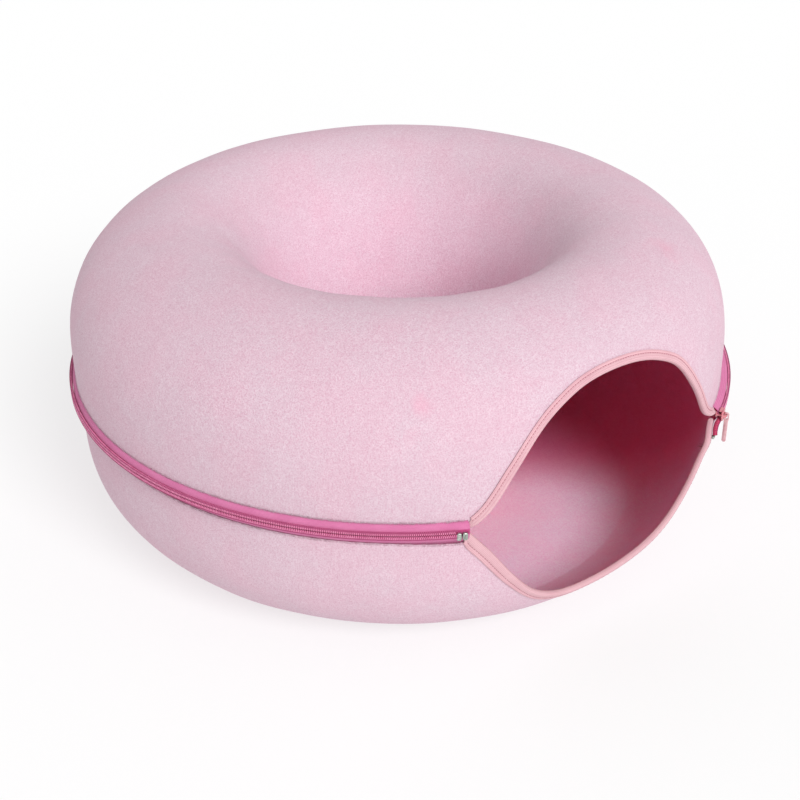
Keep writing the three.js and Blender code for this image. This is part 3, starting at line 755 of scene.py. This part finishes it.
def rim_fibres(name, side, count, seed):
    """Loose fibres of the felt's pressed rim, which soften its line over the tape."""
    profile = WALLS[side]
    random = np.random.default_rng(seed)
    stations = np.linspace(0, 1, 4)
    ends = RIGHT_CORNER + 0.6, FULL_TURN + LEFT_CORNER - 0.6
    angles = random.uniform(*ends, count)[:, None]
    reach = (0.6 + 3.4 * random.uniform(0, 1, count) ** 2)[:, None]
    slant = random.normal(0, 0.7, count)[:, None]
    height = random.uniform(0.05, 0.3, count)[:, None]
    length = reach + FIBRE_ROOT
    distance = rim_distance(side, angles) + FIBRE_ROOT - length * stations
    turn = np.degrees(slant * length * stations / profile.point(distance)[..., 0])
    outward = height + 0.2 * np.sin(stations * math.pi) - reach * 0.45 * stations**3
    middle = on_wall(profile, angles + turn, distance, outward)
    radial = unit(middle * np.array([1, 1, 0]))
    sideways = np.cross(radial, [0, 0, 1])
    section = ring_of(3, 0.1, 0.1) * (1 - 0.7 * stations)[:, None, None]
    return strands(name, rings_round(middle, radial, sideways, section), felt_outside)


fibres_upper = rim_fibres("fibres_upper", "upper", count=4600, seed=21)
fibres_lower = rim_fibres("fibres_lower", "lower", count=3000, seed=22)


# The zip's tapes, which come out from under the felt rims and bend up to the rows

TAPE = 0.7
TAPE_SEAM_ALLOWANCE = 12
TAPE_STEP = 0.75
TAPE_SHARP_EDGE = 50
TAPE_BEND = {"upper": (2.2, 1.9), "lower": (3.2, 3.6)}
TAPE_LEAD = {"upper": 0.8, "lower": 0}


def row_angles(start, end, step):
    return np.linspace(start, end, max(2, round((end - start) / step) + 1))


def zip_tape(name, side):
    profile, rim, up = WALLS[side], RIM[side], UP[side]
    bend_out, bend_down = TAPE_BEND[side]
    felt_back = profile.point(rim + 9)[0] - FELT - GAP - TAPE / 2
    rim_back = profile.point(rim)[0] - RIM_THICKNESS - GAP - TAPE / 2
    path = np.array([
        (felt_back, up * (rim + TAPE_SEAM_ALLOWANCE)),
        (felt_back, up * (rim + 7)),
        ((felt_back + rim_back) / 2, up * (rim + 3.5)),
        (rim_back, up * rim),
        (rim_back + bend_out, up * (rim - bend_down)),
        (TAPE_EDGE_RADIUS - 0.7, up * (ROW_WIDTH + 1.2)),
        (TAPE_EDGE_RADIUS, up * (ROW_WIDTH - 0.4)),
        (TAPE_EDGE_RADIUS, up * GAP),
    ])
    fine = spline(path, 34)
    along = heading(fine)
    sideways = np.stack([along[:, 1], -along[:, 0]], -1) * TAPE / 2
    outline = np.vstack([fine + sideways, (fine - sideways)[::-1]])
    angles = row_angles(ROW_START - TAPE_LEAD[side], TAPE_END + TAPE_TUCK, TAPE_STEP)
    pucker = 0.12 * np.sin(np.radians(angles) * 97) * np.sin(np.radians(angles) * 31 + 1)
    shape = smoothstep(np.abs(outline[:, 1]), ROW_WIDTH, rim)
    radius = outline[None, :, 0] + pucker[:, None] * shape[None] * (np.abs(outline[:, 1]) < rim)
    sections = place(angles[:, None], radius, SEAM_HEIGHT + outline[None, :, 1])
    across = lengths_of(fine)
    around = np.concatenate([across, across[::-1], across[:1]])
    lengthwise = np.radians(angles) * TAPE_EDGE_RADIUS
    return sweep(name, sections, [tape_pinks[side]], lengthwise, around, sharp=TAPE_SHARP_EDGE)


tape_upper = zip_tape("tape_upper", "upper")
tape_lower = zip_tape("tape_lower", "lower")


# The two rows of the coil

ROW_STEP = 0.25
PITCH = 1.45
WIRE = 0.92
STEPS_PER_TURN = 10
HEADS_APART = 0.4
LOOSE_STEPS = 60
LOOSE_TWIST = -62
COIL_HALF_DEPTH = 1.3
COIL_SQUARENESS = 0.6
# The cord's half depth and half width in the closed rows and at the loose end
CORD_CLOSED = np.array([0.95, 1.0])
CORD_LOOSE = np.array([1.1, 2.1])
COIL_SEAM_START = {"upper": 0, "lower": 8}


def row_frame(side):
    """The middle line of a row, with its outward and its upward direction."""
    angles = row_angles(ROW_CLOSED if side == "lower" else ROW_START, ROW_END, ROW_STEP)
    heights = np.full(len(angles), SEAM_HEIGHT + UP[side] * (ROW_WIDTH / 2 - 0.1))
    middle = place(angles, ROW_RADIUS, heights)
    if side == "lower":
        loose = place(LOOSE_END[:, 0], LOOSE_END[:, 1], SEAM_HEIGHT - LOOSE_END[:, 2])
        middle = np.vstack([spline(np.vstack([loose, middle[:1]]), LOOSE_STEPS)[:-1], middle])
    along = heading(middle)
    radial = unit(middle * np.array([1, 1, 0]))
    outward = squared_to(radial, along)
    upward = np.cross(outward, along)
    if upward[len(upward) // 2, 2] < 0:
        upward = -upward
    if side == "lower":
        steps = np.arange(len(middle))
        twist = math.radians(LOOSE_TWIST) * (1 - smoothstep(steps, LOOSE_STEPS - 30, LOOSE_STEPS - 6))
        cos, sin = np.cos(twist)[:, None], np.sin(twist)[:, None]
        outward, upward = outward * cos - upward * sin, upward * cos + outward * sin
    return middle, along, outward, upward


def paint_start(thing, sides, rings):
    """The second material on a swept piece's first rings."""
    numbers = np.arange(len(thing.data.polygons))
    thing.data.polygons.foreach_set("material_index", (numbers // sides < rings).astype(np.int32))


def zip_coil(name, side):
    middle, _, outward, upward = row_frame(side)
    lengths = lengths_of(middle)
    turns = int(lengths[-1] / PITCH)
    count = turns * STEPS_PER_TURN
    phase = np.arange(count) / STEPS_PER_TURN
    shift = 0.0 if side == "upper" else PITCH / 2
    wanted = np.clip(phase * PITCH + shift, 0, lengths[-1])
    turn = 2 * math.pi * phase
    half_deep, half_wide = COIL_HALF_DEPTH - WIRE / 2, ROW_WIDTH / 2 - 0.1 - WIRE / 2
    outwards = half_deep * squared_off(np.sin(turn), COIL_SQUARENESS)
    from_middle = half_wide * squared_off(np.cos(turn), COIL_SQUARENESS) + UP[side] * HEADS_APART / 2
    path = (
        sampled(middle, lengths, wanted)
        + sampled(outward, lengths, wanted) * outwards[:, None]
        + sampled(upward, lengths, wanted) * from_middle[:, None]
    )
    along = heading(path)
    round_the_row = sampled(heading(middle), lengths, wanted)
    first = squared_to(round_the_row, along)
    second = np.cross(along, first)
    section = ring_of(5, WIRE / 2, WIRE / 2)
    coil = tube(name, path, first, second, section, [coil_pink, loose_coil_painted_shade])
    if side == "lower":
        # The loose end's turns take the painted-shade material
        paint_start(coil, len(section), lengths[LOOSE_STEPS] / PITCH * STEPS_PER_TURN)
    return coil


def row_cord(name, side):
    """The filler cord that a row is wound round; it shows at the row's loose end."""
    middle, _, outward, upward = row_frame(side)
    lengths = lengths_of(middle)
    steps = np.arange(len(middle))
    loose = (1 - smoothstep(steps, LOOSE_STEPS - 12, LOOSE_STEPS)) * (side == "lower")
    size = CORD_CLOSED + (CORD_LOOSE - CORD_CLOSED) * loose[:, None]
    section = ring_of(12, 1, 1, 3) * size[:, None]
    sides = section.shape[1]
    rings = rings_round(middle, outward, upward, section)
    cord = sweep(name, rings, [row_cord_painted_shade, loose_cord_painted_shade], lengths, np.linspace(0, 6, sides + 1))
    # The cord's loose end takes the painted-shade material
    paint_start(cord, sides, LOOSE_STEPS if side == "lower" else 0)
    return cord


def coil_seam(name, side):
    """The stitching that holds a row on its tape, laid over the coil beside its outer edge."""
    middle, _, outward, upward = row_frame(side)
    lengths = lengths_of(middle)
    count = int(lengths[-1] / 0.7)
    wanted = np.linspace(lengths[COIL_SEAM_START[side]], lengths[-1], count)
    wave = 0.05 * np.sin(wanted * 2 * math.pi / 2.8)
    path = sampled(middle, lengths, wanted)
    out, high = sampled(outward, lengths, wanted), sampled(upward, lengths, wanted)
    path = path + out * (0.88 + wave)[:, None] + high * UP[side] * (ROW_WIDTH / 2 + 0.1)
    return tube(name, path, out, high, ring_of(6, 0.36, 0.45), [coil_thread])


coil_upper = zip_coil("coil_upper", "upper")
coil_lower = zip_coil("coil_lower", "lower")
cord_upper = row_cord("row_cord_upper", "upper")
cord_lower = row_cord("row_cord_lower", "lower")
coil_seam_upper = coil_seam("coil_seam_upper", "upper")
coil_seam_lower = coil_seam("coil_seam_lower", "lower")


# The bindings round the two lips

BINDING_LEG = 8
BINDING_LEFT_LEG = {"upper": 9.4, "lower": 10.8}
BINDING_RIGHT_LEG = 7
BINDING_TURN = 4
BINDING_LEFT_TURN = {"upper": 1.1, "lower": 1.8}
BINDING_END_TURN = {"upper": 1, "lower": 0.55}
BINDING_END_NARROWING = {"upper": 2.6, "lower": 0}
BINDING_WIDENING = (3, 12)
GROOVE = 5.3


def groove_place(leg):
    return GROOVE + 0.6 * (leg - BINDING_LEG)


def binding_section(leg):
    """The folded tape's outline as distance in from the fold and height above the felt.

    It runs over the outer leg, round the fold and back over the inner leg, and a seam's groove
    presses into both legs.
    """
    groove = groove_place(leg)
    outside = [
        (leg, 0.62), (leg - 0.1, 1.0), (leg - 0.45, 1.22), (leg - 1.1, 1.3), (groove + 0.7, 1.24),
        (groove + 0.25, 1.0), (groove, 0.84), (groove - 0.25, 1.02), (groove - 0.8, 1.3),
        (groove - 1.9, 1.42), (2.2, 1.36), (1.2, 1.1), (0.5, 0.55), (0.12, -0.2),
    ]
    fold = [(0, -1.0), (0.04, -1.8), (0.18, -2.5), (0.55, -3.15)]
    inside = [
        (1.2, -3.55), (2.2, -3.72), (groove - 1.6, -3.76), (groove - 0.6, -3.6), (groove, -3.25),
        (groove + 0.6, -3.56), (leg - 0.8, -3.64), (leg - 0.1, -3.4), (leg, -3.05),
    ]
    back = [
        (leg - 0.4, -2.85), (3.4, -2.85), (1.2, -2.7), (0.95, -2.2), (0.9, -1.2), (1.0, 0.05),
        (1.3, 0.42), (3.4, 0.5), (leg - 0.4, 0.5),
    ]
    return np.array(outside + fold + inside + back, float)


def lip_frame(side, angles):
    """Where the fold starts, the direction from it into the binding, and the legs' width."""
    from_left = 1 - smoothstep(angles - LEFT_CORNER, 0, BINDING_LEFT_TURN[side])
    from_right = 1 - smoothstep(RIGHT_CORNER - angles, 0, BINDING_TURN)
    turned = np.maximum(BINDING_END_TURN[side] * from_left, from_right)
    across, along = lip_direction(side, angles)
    into = np.stack([-along, across], -1) * (1 - turned)[:, None]
    into[:, 1] += turned
    into = unit(into)
    widened = 1 - smoothstep(angles - LEFT_CORNER, *BINDING_WIDENING)
    leg = BINDING_LEG + (BINDING_LEFT_LEG[side] - BINDING_LEG) * widened
    leg = leg + (BINDING_RIGHT_LEG - BINDING_LEG) * from_right
    leg = leg - BINDING_END_NARROWING[side] * from_left
    return lip_distance(side, angles), into, leg


def on_binding(side, angles, inward, outward):
    """Points on a binding: one row for each angle, at its distances in from the fold."""
    profile = WALLS[side]
    start, into, _ = lip_frame(side, angles)
    radius = profile.point(start)[..., 0]
    distance = start[:, None] + into[:, 1:] * inward
    turn = np.degrees(into[:, :1] * inward / radius[:, None])
    return on_wall(profile, angles[:, None] + turn, distance, outward)


def even_lip_angles(side, step):
    """Angles that cut the fold into even steps of about that many millimetres."""
    profile = WALLS[side]
    angles = np.linspace(LEFT_CORNER, RIGHT_CORNER, 2001)
    line = on_wall(profile, angles, lip_distance(side, angles), np.zeros(len(angles)))
    lengths = lengths_of(line)
    wanted = np.linspace(0, lengths[-1], max(2, round(lengths[-1] / step)))
    return np.interp(wanted, lengths, angles), wanted


def binding(name, side):
    angles, lengths = even_lip_angles(side, 1.6)
    _, _, leg = lip_frame(side, angles)
    sections = np.array([binding_section(one) for one in leg])
    inward, outward = sections[..., 0], sections[..., 1]
    pucker = 0.13 * np.sin(lengths * 2 * math.pi / 5.1) * np.sin(lengths / 23 + 0.5)
    pucker = pucker + 0.07 * np.sin(lengths * 2 * math.pi / 3.3 + 1)
    groove = groove_place(leg)[:, None]
    on_face = (outward > 0.55) | (outward < -2.9)
    free = smoothstep(np.abs(inward - groove), 0.3, 1.6) * on_face
    outward = outward + pucker[:, None] * free * np.sign(outward + 1.2)
    points = on_binding(side, angles, inward, outward)
    around = lengths_of(np.vstack([sections[0], sections[0][:1]]))
    return sweep(name, points, [binding_pink], lengths, around)


binding_top = binding("binding_top", "upper")
binding_bottom = binding("binding_bottom", "lower")


# Stitches and loose threads

STITCH_SPACING = 2.7
STITCH_LENGTH = 2.1
STITCH_THICKNESS = 0.5
OUTER_SEAM = 0.9
INNER_SEAM = -3.32


def stitches(name, path, upward, seed):
    """Single stitches along a path, each a short thread that dives in at both ends."""
    random = np.random.default_rng(seed)
    lengths = lengths_of(path)
    share = np.linspace(0, 1, 6)
    arch = np.sin(share * math.pi) ** 0.5
    section = ring_of(6, STITCH_THICKNESS / 2, STITCH_THICKNESS / 2)
    section = section * (0.45 + 0.55 * arch)[:, None, None]
    rings = []
    for start in np.arange(STITCH_SPACING / 2, lengths[-1] - STITCH_LENGTH, STITCH_SPACING):
        wanted = start + share * STITCH_LENGTH + random.normal(0, STITCH_SPACING * 0.03)
        middle = sampled(path, lengths, wanted)
        up = unit(sampled(upward, lengths, wanted))
        along = heading(middle)
        side = unit(np.cross(up, along))
        middle = middle + up * ((arch - 0.55) * STITCH_THICKNESS * 0.9)[:, None]
        middle = middle + side * random.normal(0, STITCH_THICKNESS * 0.12)
        rings.append(rings_round(middle, side, up, section))
    return strands(name, rings, binding_thread, STITCH_LENGTH, STITCH_THICKNESS / 2)


def binding_stitches(name, side, outward, lift, seed):
    """The seam of a binding's leg, in its groove at that height above the felt."""
    angles, _ = even_lip_angles(side, 1.2)
    angles = angles[(angles > LEFT_CORNER + 0.25) & (angles < RIGHT_CORNER - 0.25)]
    _, _, leg = lip_frame(side, angles)
    inward = groove_place(leg)[:, None]
    line = on_binding(side, angles, inward, np.full_like(inward, outward))[:, 0]
    above = on_binding(side, angles, inward, np.full_like(inward, outward + lift))[:, 0]
    return stitches(name, line, above - line, seed)


stitch_pieces = [
    binding_stitches("stitches_top_outside", "upper", OUTER_SEAM, 1, 1),
    binding_stitches("stitches_top_inside", "upper", INNER_SEAM, -1, 2),
    binding_stitches("stitches_bottom_outside", "lower", OUTER_SEAM, 1, 3),
    binding_stitches("stitches_bottom_inside", "lower", INNER_SEAM, -1, 4),
]


def frayed_threads(name, side, angle, count, seed):
    """A few threads that have come loose from the inner leg's edge."""
    random = np.random.default_rng(seed)
    stations = np.linspace(0, 1, 7)
    section = ring_of(5, 0.16, 0.16) * (1 - 0.5 * stations)[:, None, None]
    rings = []
    for _ in range(count):
        start = angle + random.normal(0, 0.22)
        _, _, leg = lip_frame(side, np.array([start]))
        reach = random.uniform(1.6, 3.8)
        lean, curl = random.normal(0, 1.1), random.normal(0, 0.9)
        inward = leg[0] - 1.2 + stations * (1.6 + reach * 0.4) + curl * stations**2
        outward = -3.7 - reach * stations**1.4 + 0.5 * np.sin(stations * 5 + curl)
        along = start + np.degrees(lean * stations / OUTER_RADIUS)
        path = np.array([
            on_binding(side, np.array([a]), np.array([[i]]), np.array([[o]]))[0, 0]
            for a, i, o in zip(along, inward, outward)
        ])
        forward = heading(path)
        first = unit(np.cross(forward, [0.3, 0.2, 1]))
        second = np.cross(forward, first)
        rings.append(rings_round(path, first, second, section))
    return strands(name, rings, binding_pink, length=0)


FRAY_ANGLE = 25.6
frayed = frayed_threads("frayed_threads", "lower", FRAY_ANGLE, count=12, seed=5)


# The slider, its pull and the stops, made flat and then set on the zip

def plate_mesh(name, outlines, thickness, bevel, material, segments=2):
    """A plate with rounded edges from flat outlines; a second outline is a hole."""
    curve = bpy.data.curves.new(name, "CURVE")
    curve.dimensions = "2D"
    curve.fill_mode = "BOTH"
    curve.extrude = (thickness / 2 - bevel) * MM
    curve.bevel_depth = bevel * MM
    curve.bevel_resolution = segments
    curve.offset = -bevel * MM
    for outline in outlines:
        path = curve.splines.new("POLY")
        path.points.add(len(outline) - 1)
        flat = np.column_stack([np.asarray(outline) * MM, np.zeros(len(outline)), np.ones(len(outline))])
        path.points.foreach_set("co", flat.ravel())
        path.use_cyclic_u = True
    shape = add_object(name, curve)
    mesh = bpy.data.meshes.new_from_object(shape.evaluated_get(bpy.context.evaluated_depsgraph_get()))
    bpy.data.objects.remove(shape)
    work = bmesh.new()
    work.from_mesh(mesh)
    bmesh.ops.remove_doubles(work, verts=work.verts, dist=0.00001)
    bmesh.ops.recalc_face_normals(work, faces=work.faces)
    work.to_mesh(mesh)
    work.free()
    mesh.materials.clear()
    mesh.materials.append(material)
    return add_object(name, mesh)


def closed_spline(points, count):
    points = np.asarray(points, float)
    looped = np.vstack([points[-2:], points, points[:3]])
    fine = spline(looped, 40 * len(looped))
    start = np.argmin(np.linalg.norm(fine[: len(fine) // 2] - points[0], axis=1))
    end = len(fine) // 2 + np.argmin(np.linalg.norm(fine[len(fine) // 2:] - points[0], axis=1))
    loop = fine[start:end]
    lengths = lengths_of(loop)
    return sampled(loop, lengths, np.linspace(0, lengths[-1], count, endpoint=False))


def mirrored(half):
    """A closed outline from its upper half, which starts and ends on the middle line."""
    return half + [(x, -y) for x, y in half[-2:0:-1]]


def zip_place(angle, radius, drop=0.0):
    """A frame on the zip: x along it, y up and z out from the wall."""
    turn = math.radians(angle)
    out = Vector((math.sin(turn), -math.cos(turn), 0))
    along = Vector((math.cos(turn), math.sin(turn), 0))
    matrix = Matrix((along, Vector((0, 0, 1)), out)).transposed().to_4x4()
    matrix.translation = out * radius * MM + Vector((0, 0, (SEAM_HEIGHT - drop) * MM))
    return matrix


def joined(name, things, matrix):
    """Objects joined into one, and set in place."""
    work = bmesh.new()
    for thing in things:
        thing.data.transform(thing.matrix_world)
        work.from_mesh(thing.data)
    mesh = bpy.data.meshes.new(name)
    for material in things[0].data.materials:
        mesh.materials.append(material)
    work.to_mesh(mesh)
    work.free()
    for thing in things:
        bpy.data.objects.remove(thing)
    mesh.transform(matrix)
    mesh.shade_smooth()
    mesh.set_sharp_from_angle(angle=math.radians(METAL_SHARP_EDGE))
    return add_object(name, mesh)


def set_flat(thing, x=0.0, y=0.0, z=0.0, turn=None):
    thing.matrix_world = Matrix.Translation(Vector((x, y, z)) * MM) @ (turn or Matrix.Identity(4))
    bpy.context.view_layer.update()
    return thing


METAL_SHARP_EDGE = 42
SLIDER_ANGLE = 28.8
PLATE = 1.4
BRIDGE_BAR = 1.4
BRIDGE_WIDTH = 2.4
ARCH_HEIGHT = 4.1
FLANGE = 0.8
FLANGE_END = 4.4

plate_outline = closed_spline(mirrored([
    (5.2, 0), (5.1, 2.6), (4.4, 4.0), (2.4, 4.3), (-0.4, 4.75), (-2.2, 4.98), (-3.8, 4.2), (-4.7, 2.4),
    (-5.2, 0),
]), 60)
top_plate = set_flat(
    plate_mesh("top_plate", [plate_outline], PLATE, 0.42, slider_enamel), z=GAP + PLATE / 2
)
back_outline = closed_spline(mirrored([
    (4.5, 0), (4.3, 2.2), (2.6, 2.65), (-1.6, 2.6), (-2.8, 1.8), (-3.0, 0),
]), 44)
back_plate = set_flat(plate_mesh("back_plate", [back_outline], 1.1, 0.3, slider_enamel), z=-4.45)
post = set_flat(
    plate_mesh("post", [ring_of(20, 1.2, 0.85, 2.6)], 5.6, 0.2, slider_enamel), x=-1.8, z=-1.6
)
flanges = []
for low, y in ((-2.8, 3.6), (0.4, -3.6 - FLANGE)):
    wall = [(low, 0), (FLANGE_END, 0), (FLANGE_END, FLANGE), (low, FLANGE)]
    flange = plate_mesh("flange", [wall], 2.6, 0.22, slider_enamel)
    flanges.append(set_flat(flange, y=y, z=-0.9))
arch_half = [(-3.1, 0, 1.2), (-3.0, 0, 2.2), (-2.7, 0, 3.1), (-1.8, 0, 3.9), (0, 0, ARCH_HEIGHT)]
arch_path = spline(arch_half + [(-x, y, z) for x, y, z in arch_half[-2::-1]], 33)
arch_along = heading(arch_path)
arch_side = np.tile(np.array([0.0, 1.0, 0.0]), (len(arch_path), 1))
arch_up = np.cross(arch_side, arch_along)
bridge = tube(
    "bridge", arch_path, arch_side, arch_up, ring_of(14, BRIDGE_WIDTH / 2, BRIDGE_BAR / 2, 3.2),
    [slider_enamel],
)
slider = joined(
    "slider_body", [top_plate, back_plate, post, *flanges, bridge], zip_place(SLIDER_ANGLE, OUTER_RADIUS)
)

PULL_LENGTH = 29
PULL_HALF = 1.8
EYE_HALF = 2.2
NECK_FROM = 6.4
NECK_TO = 9.6
eye_top = BRIDGE_WIDTH / 2 + GAP + 1.3
bottom = eye_top - PULL_LENGTH
turns = np.radians(np.linspace(0, 180, 17))
pull_outline = [(EYE_HALF * math.cos(t), eye_top + EYE_HALF * (math.sin(t) - 1)) for t in turns]
pull_outline += [(-EYE_HALF, eye_top - NECK_FROM), (-PULL_HALF, eye_top - NECK_TO)]
pull_outline += [(-PULL_HALF * math.cos(t), bottom + PULL_HALF * (1 - math.sin(t))) for t in turns]
pull_outline += [(PULL_HALF, eye_top - NECK_TO), (EYE_HALF, eye_top - NECK_FROM)]
hole_top = BRIDGE_WIDTH / 2 + GAP
hole = ring_of(24, 1.15, 2.4, 3.4) + np.array([0, hole_top - 2.4])
tab = plate_mesh("tab", [pull_outline, hole], 1.7, 0.42, pull_enamel, 3)
ridge = [(x, bottom + 3.2 + y) for x, y in ((-0.8, 0), (0.8, 0), (0.8, 13), (-0.8, 13))]
pad = plate_mesh("pad", [closed_spline(ridge, 28)], 2.1, 0.3, pull_enamel)
quarter_turn = Matrix.Rotation(-math.pi / 2, 4, "Y")
pull = joined(
    "pull_tab",
    [set_flat(tab, z=ARCH_HEIGHT, turn=quarter_turn), set_flat(pad, z=ARCH_HEIGHT, turn=quarter_turn)],
    zip_place(SLIDER_ANGLE, OUTER_RADIUS),
)


def stop(name, along, high, deep, angle, radius, drop=0.0):
    """A small clamp of bright metal with a pressed dent across its middle."""
    outline = ring_of(28, along / 2, high / 2, 3.2)
    bead = plate_mesh(f"{name}_bead", [outline], deep, deep * 0.38, stop_metal, 4)
    return joined(name, [set_flat(bead, z=deep / 2)], zip_place(angle, radius, drop))


STOP_RADIUS = TAPE_EDGE_RADIUS + 0.4 + GAP
STOP_DROP = 2.5
END_STOP_DROP = LOOSE_END[0, 2] + GAP + 1.8
stop_in = stop("stop_first", 4.2, 6.8, 2.7, 330.7, STOP_RADIUS, STOP_DROP)
stop_out = stop("stop_second", 4.4, 6.8, 2.7, 331.6, STOP_RADIUS, STOP_DROP)
stop_loose = stop("stop_loose_row", 4.6, 3.2, 3.0, 27.3, 294.8, END_STOP_DROP)


# What each piece stands for; each hangs on the root and hides the model's parts that it replaces

REPLACING = (
    ("felt", {"upper_shell": felt_upper, "lower_shell": felt_lower}),
    ("zip_tape", {"zip_tape_upper": tape_upper, "zip_tape_lower": tape_lower}),
    ("zip_coil", {"zip_coil_upper": coil_upper, "zip_coil_lower": coil_lower}),
    ("binding", {"binding_upper": binding_top, "binding_lower": binding_bottom}),
    ("slider", {"slider": slider, "pull": pull}),
    ("stop", {"stop_inner": stop_in, "stop_outer": stop_out, "stop_open_end": stop_loose}),
)
ADDED = (
    ("zip_coil", [cord_upper, cord_lower, coil_seam_upper, coil_seam_lower]),
    ("binding", [*stitch_pieces, frayed]),
    ("felt", [fibres_upper, fibres_lower]),
)
PIECES = [(piece, slot, [node]) for slot, pairs in REPLACING for node, piece in pairs.items()]
PIECES += [(piece, slot, []) for slot, things in ADDED for piece in things]
for piece, slot, nodes in PIECES:
    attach(piece, "root")
    if nodes:
        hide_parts(*nodes)


# Floor, lights and camera

FLOOR_REACH = 20000
FLOOR_WHITE = 0.36
FLOOR_GLOW = 0.61


def floor_material():
    """White paper that is lit from behind too, so that it stays pale in the shadow."""
    recipe = Recipe("floor_white")
    recipe.set(Base_Color=(*[FLOOR_WHITE] * 3, 1), Roughness=0.9, Specular_IOR_Level=0.1)
    recipe.set(Emission_Color=(1, 1, 1, 1), Emission_Strength=FLOOR_GLOW)
    return recipe.material


floor_corners = np.array([(-1, -1, 0), (1, -1, 0), (1, 1, 0), (-1, 1, 0)]) * FLOOR_REACH
floor = make_object("floor", floor_corners, [(0, 1, 2, 3)], [floor_material()])


def direction(azimuth, elevation):
    """The way from the bed to a light or the camera; azimuth 0 is straight before the opening."""
    a, e = math.radians(azimuth), math.radians(elevation)
    return Vector((math.sin(a) * math.cos(e), -math.cos(a) * math.cos(e), math.sin(e)))


def far_light(name, azimuth, elevation, softness, brightness):
    """A round light far away: its brightness on a white sheet that faces it, and its width."""
    light = bpy.data.lights.new(name, "SUN")
    light.angle = math.radians(softness)
    light.energy = brightness * math.pi
    thing = add_object(name, light)
    thing.rotation_mode = "QUATERNION"
    thing.rotation_quaternion = (-direction(azimuth, elevation)).to_track_quat("-Z", "Y")


SKY = 0.65
far_light("key", azimuth=-7, elevation=37, softness=27, brightness=0.69)

world = bpy.data.worlds.new("studio")
world.use_nodes = True
world.node_tree.nodes["Background"].inputs["Color"].default_value = (1, 1, 1, 1)
world.node_tree.nodes["Background"].inputs["Strength"].default_value = SKY
bpy.context.scene.world = world
bpy.context.scene.view_settings.view_transform = "Standard"

CAMERA_AZIMUTH = -37.9
CAMERA_ELEVATION = 30.14
CAMERA_DISTANCE = 1.414
CAMERA_TARGET = Vector((0, 0, 0.0843))
camera_data = bpy.data.cameras.new("camera")
camera_data.lens = 67.5
camera_data.sensor_width = 36
camera = add_object("camera", camera_data)
towards_eye = direction(CAMERA_AZIMUTH, CAMERA_ELEVATION)
camera.location = CAMERA_TARGET + towards_eye * CAMERA_DISTANCE
camera.rotation_mode = "QUATERNION"
camera.rotation_quaternion = (-towards_eye).to_track_quat("-Z", "Y")
bpy.context.scene.camera = camera
